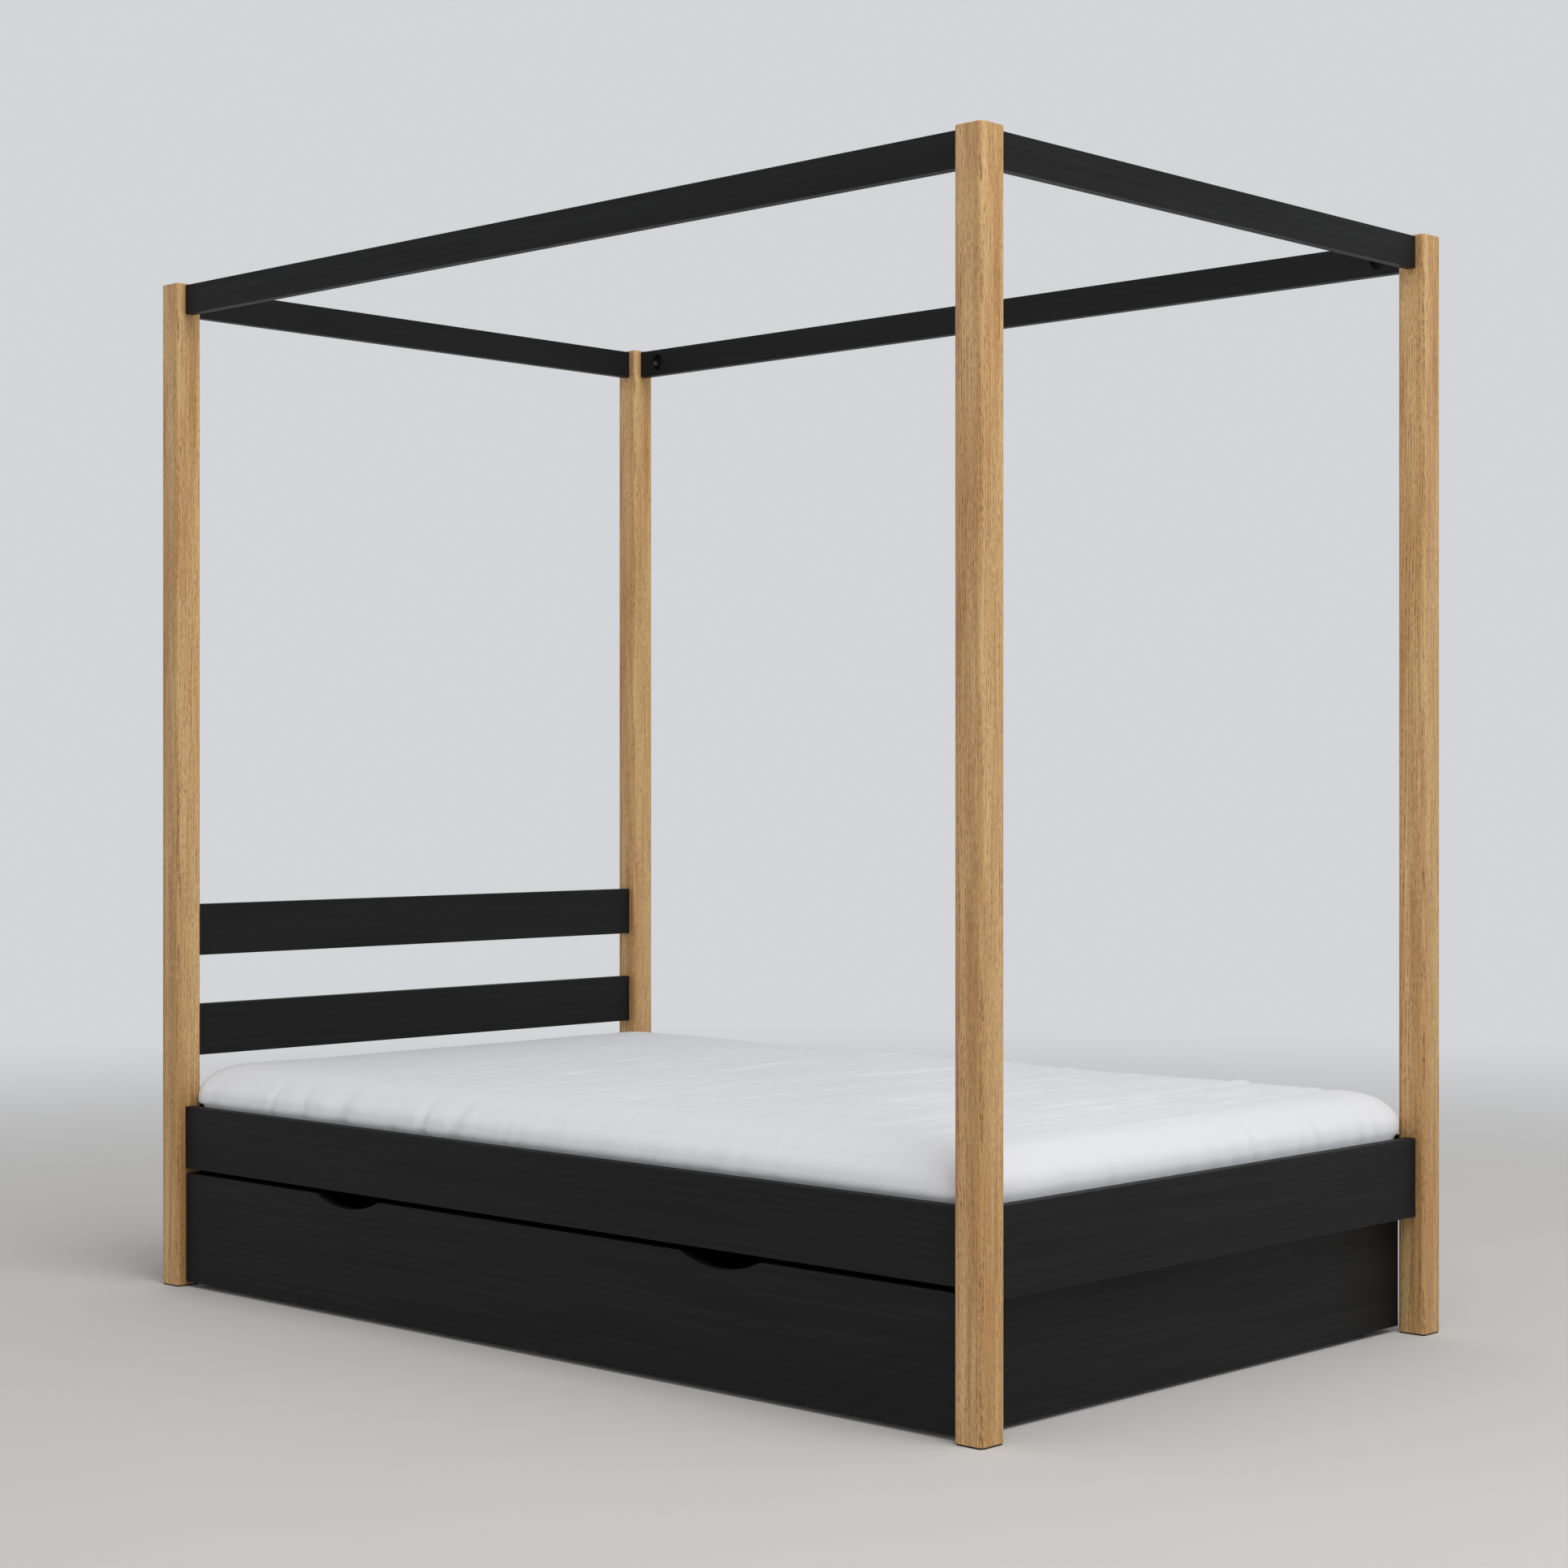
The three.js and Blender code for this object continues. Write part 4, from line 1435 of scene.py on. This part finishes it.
@dataclass
class Mattress:
    """A foam mattress in a woven cotton cover, blown up gently, then creased."""

    node: str = "mattress"
    corner_radius: float = 72 * MM
    top_rounding: float = 58 * MM
    corner_rounding: float = 33 * MM
    bottom_rounding: float = 42 * MM
    rounding_steps: int = 8
    corner_steps: int = 12
    top_slack: float = 6 * MM
    voxel: float = 16 * MM
    pressure: float = 4.0
    most_swell: float = 5 * MM
    sideways_swell: float = 0.15
    frames: int = 20
    overhang: tuple[float, float] = (4 * MM, 12 * MM)
    overhang_from: float = 0.5 * MM
    overhang_rise: float = 8 * MM
    give: float = 1.2 * MM
    above_slats: float = 0.2 * MM
    most_lift: float = 5 * MM
    creases: int = 95
    crease_reach: tuple[float, float] = (0.18, 0.55)
    crease_width: tuple[float, float] = (0.007, 0.014)
    crease_height: tuple[float, float] = (0.6 * MM, 2.4 * MM)
    fan: int = 9
    fan_reach: tuple[float, float] = (0.05, 0.12)
    fan_width: tuple[float, float] = (0.008, 0.013)
    waves: int = 16
    wave_height: float = 0.22 * MM
    pulls: tuple[int, int] = (60, 26)
    pull_width: tuple[float, float] = (0.009, 0.026)
    pull_from_end: float = 60 * MM
    deepest_pull: float = 6.5 * MM
    fill: float = 0.92
    rail_top: float = field(default_factory=lambda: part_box("side_rail_near")[1].z)
    seed: int = 23

    def build(self) -> None:
        """Makes, inflates, creases, fits, maps and dresses the mattress."""
        piece = self.form()
        self.inflate(piece)
        finer = piece.modifiers.new("finer", "SUBSURF")
        finer.levels = finer.render_levels = 1
        bake(piece)
        self.crease(piece)
        self.map_cover(piece)
        WovenCotton("woven_cotton").dress(piece)
        piece.data.polygons.foreach_set("use_smooth", [True] * len(piece.data.polygons))
        settle(piece, BED, [self.node])

    def form(self) -> Piece:
        """The shape before it is blown up: a little small, and made of even squares."""
        low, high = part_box(self.node)
        half = (high - low) / 2
        middle = (high + low) / 2
        top = high.z - self.top_slack
        rings = rounded_rings(low.z, top, self.bottom_rounding, self.top_rounding, self.rounding_steps)
        shape = loft((half.x, half.y), self.corner_radius, rings, self.corner_steps)
        piece = from_bmesh("cotton_mattress", shape, Matrix.Translation((middle.x, middle.y, 0.0)))
        remesh = piece.modifiers.new("even squares", "REMESH")
        remesh.mode, remesh.voxel_size = "VOXEL", self.voxel
        bake(piece)
        return piece

    def inflate(self, piece: Piece) -> None:
        """Blows the cover up as cloth, while the foam keeps the sides nearly where they are.

        Args:
            piece: The mattress, whose mesh takes the result.
        """
        start = rows_of(piece.data.vertices, "co")
        cloth = piece.modifiers.new("inflate", "CLOTH")
        cloth.settings.use_pressure = True
        cloth.settings.uniform_pressure_force = self.pressure
        cloth.settings.effector_weights.gravity = 0.0
        cloth.settings.quality = 4
        cloth.point_cache.frame_end = self.frames
        scene = bpy.context.scene
        for step in range(1, self.frames + 1):
            scene.frame_set(step)
        graph = bpy.context.evaluated_depsgraph_get()
        moved = rows_of(piece.evaluated_get(graph).data.vertices, "co")
        piece.modifiers.clear()
        scene.frame_set(1)
        shift = (moved - start) * (self.sideways_swell, self.sideways_swell, 1.0)
        length = np.linalg.norm(shift, axis=1, keepdims=True)
        shift *= np.minimum(1.0, self.most_swell / np.maximum(length, 1e-9))
        piece.data.vertices.foreach_set("co", (start + shift).astype(np.float32).ravel())
        piece.data.update()
        LOG.info("mattress swelled by up to %.1f mm", np.linalg.norm(shift, axis=1).max() / MM)

    def crease(self, piece: Piece) -> None:
        """Squares the cover up, then creases it, clear of the rails, the slats and the posts.

        Args:
            piece: The mattress.
        """
        mesh = piece.data
        spots = rows_of(mesh.vertices, "co")
        normals = rows_of(mesh.vertices, "normal")
        upright = np.clip(1 - np.abs(normals[:, 2]), 0, 1)
        self.square_up(spots, upright)
        draw = np.random.default_rng(self.seed)
        height = self.top_creases(spots, draw) * np.clip(normals[:, 2], 0, 1) ** 2
        height += self.side_pulls(spots, draw) * np.sqrt(upright)
        spots += normals * height[:, None]
        self.keep_clear(spots)
        mesh.vertices.foreach_set("co", spots.astype(np.float32).ravel())
        mesh.update()

    def limit(self, spots: np.ndarray) -> np.ndarray:
        """How far out the mattress may reach at each point, along its length and its width.

        Below the rails' top it stays between them, and above it leans out over them.

        Args:
            spots: The points.

        Returns:
            Two lengths for each point, from the mattress's middle.
        """
        above = np.clip((spots[:, 2] - self.rail_top - self.overhang_from) / self.overhang_rise, 0, 1)
        above = above * above * (3 - 2 * above)
        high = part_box(self.node)[1]
        return np.array([high.x, high.y]) + above[:, None] * np.array(self.overhang)

    def square_up(self, spots: np.ndarray, upright: np.ndarray) -> None:
        """Draws the sides and corners out to the foam's own outline.

        Args:
            spots: The points, changed in place.
            upright: How nearly upright the cover stands at each, from 0 to 1.
        """
        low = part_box(self.node)[0]
        flat = np.abs(spots[:, :2])
        past = np.maximum(flat - self.limit(spots) + self.corner_radius, 0)
        reach = np.maximum(np.linalg.norm(past, axis=1), 1 * MM)
        in_corner = np.clip(past.min(axis=1) / (0.6 * self.corner_radius), 0, 1)
        rounding = self.top_rounding + (self.corner_rounding - self.top_rounding) * in_corner
        up = np.clip((spots[:, 2] - spots[:, 2].max() + rounding) / rounding, 0, 1)
        down = np.clip((low.z + self.bottom_rounding - spots[:, 2]) / self.bottom_rounding, 0, 1)
        inset = rounding * (1 - np.sqrt(1 - up**2)) + self.bottom_rounding * (1 - np.sqrt(1 - down**2))
        short = (self.corner_radius - inset - reach) * np.clip(1.3 * upright, 0, 1)
        flat += past * (short / reach)[:, None]
        spots[:, :2] = np.sign(spots[:, :2]) * flat

    def top_creases(self, spots: np.ndarray, draw: np.random.Generator) -> np.ndarray:
        """How far the long shallow creases raise each point of the top.

        Args:
            spots: The points.
            draw: Where the random numbers come from.

        Returns:
            One height for each point.
        """
        rise = np.zeros(len(spots))
        for number in range(self.creases + self.fan):
            crease = self.crossing(draw) if number < self.creases else self.fanned(draw)
            tall = draw.uniform(*self.crease_height) * draw.choice([-1, 1])
            tall *= 0.35 + 0.65 * min(1.0, max(0.0, (crease.middle[0] + 0.75) / 0.7))
            along, across = crease.measured(spots)
            across += draw.normal(0, 0.2) * along**2
            rise += tall * ripple(across / crease.width) * np.exp(-((along / crease.reach) ** 2) / 2)
        for _ in range(self.waves):
            phase, turn = draw.uniform(0, math.tau), draw.uniform(0, math.pi)
            wave = math.tau / draw.uniform(0.22, 0.6)
            ramp = spots[:, 0] * math.cos(turn) + spots[:, 1] * math.sin(turn)
            rise += self.wave_height * np.sin(ramp * wave + phase)
        return rise

    def crossing(self, draw: np.random.Generator) -> "Crease":
        """One of the creases that run across the bed, anywhere on the top."""
        low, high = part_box(self.node)
        middle = (draw.uniform(low.x + 0.15, high.x - 0.05), draw.uniform(low.y + 0.1, high.y - 0.1))
        heading = math.radians(90 + draw.normal(0, 7))
        return Crease(middle, heading, draw.uniform(*self.crease_reach), draw.uniform(*self.crease_width))

    def fanned(self, draw: np.random.Generator) -> "Crease":
        """One of the short creases that fan out near the far side of the foot end."""
        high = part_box(self.node)[1]
        middle = (draw.uniform(0.30, 0.62), high.y - draw.uniform(0.10, 0.22))
        heading = math.radians(draw.normal(-28, 14))
        return Crease(middle, heading, draw.uniform(*self.fan_reach), draw.uniform(*self.fan_width))

    def side_pulls(self, spots: np.ndarray, draw: np.random.Generator) -> np.ndarray:
        """How far the upright pulls move each point of the sides outwards.

        Args:
            spots: The points.
            draw: Where the random numbers come from.

        Returns:
            One distance for each point.
        """
        low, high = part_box(self.node)
        push = np.zeros(len(spots))
        below_top = np.clip((high.z - spots[:, 2]) / (high.z - low.z), 0, 1)
        for axis, other in ((0, 1), (1, 0)):
            for side in (-1, 1):
                on_side = np.clip(spots[:, other] * side / (high[other] - 0.1), 0, 1) ** 8
                for number in range(self.pulls[axis]):
                    share = (number + draw.uniform(0, 1)) / self.pulls[axis]
                    room = high[axis] - low[axis] - 2 * self.pull_from_end
                    middle = low[axis] + self.pull_from_end + share * room
                    width, lean = draw.uniform(*self.pull_width), draw.normal(0, 0.12)
                    tall = -self.deepest_pull * draw.uniform(0.15, 1.0) ** 1.5
                    tall *= 0.4 + 0.6 * math.exp(-(((middle + 0.5 * (1 - axis)) / 0.35) ** 2))
                    across = spots[:, axis] - middle + lean * (spots[:, 2] - low.z)
                    push += tall * ripple(across / width) * on_side * np.clip(below_top * 3.2, 0, 1)
        return push

    def keep_clear(self, spots: np.ndarray) -> None:
        """Stops the creases short of the rails, the posts and the slats.

        Args:
            spots: The points, changed in place.
        """
        low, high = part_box(self.node)
        flat = np.abs(spots[:, :2])
        past = np.maximum(flat - self.limit(spots) - self.give + self.corner_radius, 0)
        reach = np.maximum(np.linalg.norm(past, axis=1), 1 * MM)
        over = np.minimum(self.corner_radius - reach, 0)
        flat += past * (over / reach)[:, None]
        spots[:, :2] = np.sign(spots[:, :2]) * flat
        spots[:, 2] = np.clip(spots[:, 2], low.z + self.above_slats, high.z + self.most_lift)

    def map_cover(self, piece: Piece) -> None:
        """Lays the cover's map flat on the top, the bottom and each side, in metres.

        Args:
            piece: The mattress.
        """
        mesh = piece.data
        corners = np.empty(len(mesh.loops), np.int32)
        mesh.loops.foreach_get("vertex_index", corners)
        totals = np.empty(len(mesh.polygons), np.int32)
        mesh.polygons.foreach_get("loop_total", totals)
        facing = np.abs(rows_of(mesh.polygons, "normal"))
        main = np.repeat(np.argmax(facing, axis=1), totals)
        rows = rows_of(mesh.vertices, "co")[corners]
        each = np.arange(len(rows))
        across = rows[each, np.where(main == 0, 1, 0)]
        upward = rows[each, np.where(main == 2, 1, 2)]
        flat = np.stack([across, upward], axis=1)
        layer = mesh.uv_layers.new(name="cover")
        layer.data.foreach_set("uv", flat.astype(np.float32).ravel())


# ---- Drawer ----


@dataclass
class Drawer:
    """The full-length drawer: boards, bottoms, and wheels on shouldered screws."""

    easing: float = 1.2 * MM
    bottom_easing: float = 0.4 * MM
    bearer_easing: float = 2 * MM
    grip_width: float = 180 * MM
    grip_depth: float = 20 * MM
    grip_from_centre: float = 480 * MM
    grip_steps: int = 280
    past_face: float = 10 * MM
    groove_room: float = 0.2 * MM
    grooved: tuple[str, ...] = ("drawer_back", "drawer_side_head", "drawer_side_foot")
    bottoms: tuple[str, str] = ("drawer_bottom_head", "drawer_bottom_foot")
    wheels: tuple[str, ...] = ("head_front", "head_back", "foot_front", "foot_back")

    def build(self) -> None:
        """Makes and dresses every piece of the drawer."""
        front = Board("drawer_front", "painted_drawer_front", self.easing, DRAWER)
        front.cutters, front.ease_cuts = [*self.grips(), self.groove("drawer_front")], True
        front.build()
        for node in self.grooved:
            cutters = [self.groove(node)]
            Board(node, f"painted_{node}", self.easing, DRAWER, cutters=cutters).build()
        Board("drawer_divider", "painted_drawer_divider", self.easing, DRAWER).build()
        for node in self.bottoms:
            Board(node, f"painted_{node}", self.bottom_easing, DRAWER).build()
        Board("drawer_bearer", "pine_drawer_bearer", self.bearer_easing, DRAWER, PINE[Axis.Y]).build()
        spokes = SpokeRing()
        for place in self.wheels:
            Wheel(place).build(spokes)

    def grips(self) -> list[Piece]:
        """Two round cutters whose lowest parts make the hand grips."""
        low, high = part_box("drawer_front")
        half = self.grip_width / 2
        radius = (half**2 + self.grip_depth**2) / (2 * self.grip_depth)
        start, end = low.y - self.past_face, high.y + self.past_face
        profile = [(0, start), (radius, start), (radius, end), (0, end)]
        spin = Matrix.Rotation(-math.pi / 2, 4, "X")
        cutters = []
        for sign in (-1, 1):
            middle = (sign * self.grip_from_centre, 0.0, high.z - self.grip_depth + radius)
            place = Matrix.Translation(middle) @ spin
            cutters.append(from_bmesh("grip", turned(profile, self.grip_steps), place))
        return cutters

    def groove(self, node: str) -> Piece:
        """The space of both bottom panels, with a little room round it, where it meets a board."""
        first, last = (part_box(bottom) for bottom in self.bottoms)
        room = Vector((self.groove_room,) * 3)
        return from_bmesh(f"groove_{node}", cuboid(first[0] - room, last[1] + room))


@dataclass
class Wheel:
    """One drawer wheel and the shouldered screw it turns on."""

    place: str
    edge: float = 2 * MM
    hub: float = 6.4 * MM
    bore: float = 4.1 * MM
    rim: float = 15.5 * MM
    web: float = 2.2 * MM
    rim_taper: float = 0.6 * MM
    ribs: int = 6
    rib_inset: float = 2.5 * MM
    rib_thickness: float = 1.6 * MM
    rib_overlap: float = 0.3 * MM
    edge_steps: int = 4
    steps: int = 56
    head: float = 8 * MM
    head_thickness: float = 3 * MM
    head_chamfer: float = 0.8 * MM
    shoulder: float = 4 * MM
    thread: float = 2.5 * MM
    thread_length: float = 10 * MM
    point: float = 1 * MM
    slot: tuple[float, float, float] = (9 * MM, 1.5 * MM, 3.2 * MM)
    screw_steps: int = 40

    def build(self, spokes: SpokeRing) -> None:
        """Makes the wheel with its ribs, and its screw.

        Args:
            spokes: The pattern of the ribs.
        """
        node = f"drawer_wheel_{self.place}"
        low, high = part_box(node)
        middle = (low + high) / 2
        radius, half = (high.z - low.z) / 2, (high.x - low.x) / 2
        right = [
            (radius - self.edge * (1 - math.cos(a)), half - self.edge * (1 - math.sin(a)))
            for a in (math.pi / 2 * k / self.edge_steps for k in range(self.edge_steps + 1))
        ]
        left = [(r, -h) for r, h in reversed(right)]
        profile = [
            (self.bore, -half),
            (self.hub, -half),
            (self.hub, -self.web / 2),
            (self.rim, -self.web / 2),
            (self.rim + self.rim_taper, -half),
            *left,
            *right,
            (self.rim + self.rim_taper, half),
            (self.rim, self.web / 2),
            (self.hub, self.web / 2),
            (self.hub, half),
            (self.bore, half),
        ]
        spin = Matrix.Translation(middle) @ Matrix.Rotation(math.pi / 2, 4, "Y")
        nylon = MouldedNylon("moulded_nylon")
        shape = turned(profile, self.steps, closed=True)
        wheel = from_bmesh(f"nylon_wheel_{self.place}", shape, spin)
        nylon.dress(wheel)
        smooth(wheel)
        body = f"wheel_{self.place}"
        settle(wheel, body, [node])
        ribs = spokes.make(
            f"wheel_ribs_{self.place}",
            nylon,
            Count=self.ribs,
            Inner=self.hub - self.rib_overlap,
            Outer=self.rim + self.rib_overlap,
            Thickness=self.rib_thickness,
            Width=2 * (half - self.rib_inset),
            Place=tuple(middle),
        )
        settle(ribs, body)
        self.screw(middle)

    def screw(self, middle: Vector) -> None:
        """Makes the shouldered screw, its head towards the drawer's middle.

        Args:
            middle: The wheel's middle.
        """
        node = f"wheel_axle_{self.place}"
        low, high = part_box(node)
        outward = math.copysign(1.0, middle.x)
        start, end = (low.x, high.x) if outward > 0 else (high.x, low.x)
        length = abs(end - start)
        profile = [
            (0.0, 0.0),
            (self.head - self.head_chamfer, 0.0),
            (self.head, self.head_chamfer),
            (self.head, self.head_thickness),
            (self.shoulder, self.head_thickness),
            (self.shoulder, length - self.thread_length),
            (self.thread, length - self.thread_length),
            (self.thread, length - self.point),
            (self.thread - self.point, length),
            (0.0, length),
        ]
        spin = Matrix.Rotation(outward * math.pi / 2, 4, "Y")
        place = Matrix.Translation((start, middle.y, middle.z)) @ spin
        screw = from_bmesh(f"wheel_screw_{self.place}", turned(profile, self.screw_steps), place)
        slots = []
        for turn in (0.3, 0.3 + math.pi / 2):
            bar = bmesh.new()
            bmesh.ops.create_cube(bar, size=1.0)
            size = Matrix.Diagonal((*self.slot, 1.0))
            slots.append(from_bmesh("slot", bar, place @ Matrix.Rotation(turn, 4, "Z") @ size))
        carve(screw, slots)
        STEEL.dress(screw)
        smooth(screw)
        settle(screw, DRAWER, [node])


# ---- Studio ----


@dataclass(frozen=True)
class Lamp:
    """One square soft lamp: where it hangs, what it faces, its side and its power in watts."""

    name: str
    place: tuple[float, float, float]
    aim: tuple[float, float, float]
    side: float
    power: float

    def build(self) -> None:
        """Hangs the lamp."""
        light = bpy.data.lights.new(self.name, "AREA")
        light.shape, light.size, light.energy = "SQUARE", self.side, self.power
        lamp = bpy.data.objects.new(self.name, light)
        bpy.context.scene.collection.objects.link(lamp)
        lamp.location = self.place
        facing = Vector(self.aim) - Vector(self.place)
        lamp.rotation_euler = facing.to_track_quat("-Z", "Y").to_euler()


@dataclass
class Studio:
    """The pale floor, the soft lights and the camera."""

    floor_half: float = 30.0
    overhead: Colour = (0.40, 0.405, 0.418)
    overhead_from: tuple[float, float] = (0.26, 0.6)
    lamps: tuple[Lamp, ...] = (
        Lamp("key", (4.1, -1.1, 6.1), (0.2, 0.0, 0.6), 4.5, 245.0),
        Lamp("fill", (-1.5, -6.0, 3.2), (0.0, 0.0, 0.6), 4.0, 16.0),
    )
    camera_place: tuple[float, float, float] = (3.7870, -3.9495, 0.9779)
    camera_yaw: float = math.radians(43.551)
    lens_mm: float = 67.18
    sensor_mm: float = 36.0
    sight: float = 200.0

    def build(self) -> None:
        """Makes the floor, the surrounding light, the lamps and the camera."""
        self.floor()
        self.surround()
        for lamp in self.lamps:
            lamp.build()
        self.camera()

    def floor(self) -> None:
        """Lays the floor."""
        shape = bmesh.new()
        bmesh.ops.create_grid(shape, x_segments=2, y_segments=2, size=self.floor_half)
        mesh = bpy.data.meshes.new("floor")
        shape.to_mesh(mesh)
        shape.free()
        floor = new_piece("floor", mesh)
        PaleFloor("pale_floor").dress(floor)

    def surround(self) -> None:
        """Lights the bed from all round, and a little less from overhead."""
        world = bpy.data.worlds.new("soft surround")
        bpy.context.scene.world = world
        world.use_nodes = True
        bench = Bench(world.node_tree)
        direction = bench.add("ShaderNodeTexCoord").outputs["Generated"]
        height = bench.math("ABSOLUTE", bench.split(direction)[2])
        start, end = self.overhead_from
        inputs = {0: height, 1: start, 2: end}
        rise = bench.add("ShaderNodeMapRange", inputs, interpolation_type="SMOOTHSTEP")
        tone = bench.add("ShaderNodeMix", {0: rise.outputs[0]}, data_type="RGBA")
        tone.inputs[6].default_value = (*SKY, 1.0)
        tone.inputs[7].default_value = (*self.overhead, 1.0)
        glow = bench.add("ShaderNodeBackground", {"Color": tone.outputs[2], "Strength": 1.0})
        bench.add("ShaderNodeOutputWorld", {"Surface": glow.outputs[0]})

    def camera(self) -> None:
        """Sets the camera at standing height, level, off the near foot corner."""
        data = bpy.data.cameras.new("camera")
        data.lens, data.sensor_width, data.clip_end = self.lens_mm, self.sensor_mm, self.sight
        camera = bpy.data.objects.new("camera", data)
        bpy.context.scene.collection.objects.link(camera)
        camera.location = self.camera_place
        camera.rotation_euler = (math.pi / 2, 0.0, self.camera_yaw)
        bpy.context.scene.camera = camera
        bpy.context.scene.view_settings.view_transform = "Standard"


def main() -> None:
    """Builds the bed and its studio."""
    logging.basicConfig(level=logging.INFO, format="%(name)s: %(message)s")
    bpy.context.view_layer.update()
    ends = RailEnd.all()
    Posts().build(ends)
    Rails().build(ends)
    SlattedBase().build()
    Mattress().build()
    Drawer().build()
    Studio().build()
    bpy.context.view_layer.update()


if __name__ == "__main__":
    main()
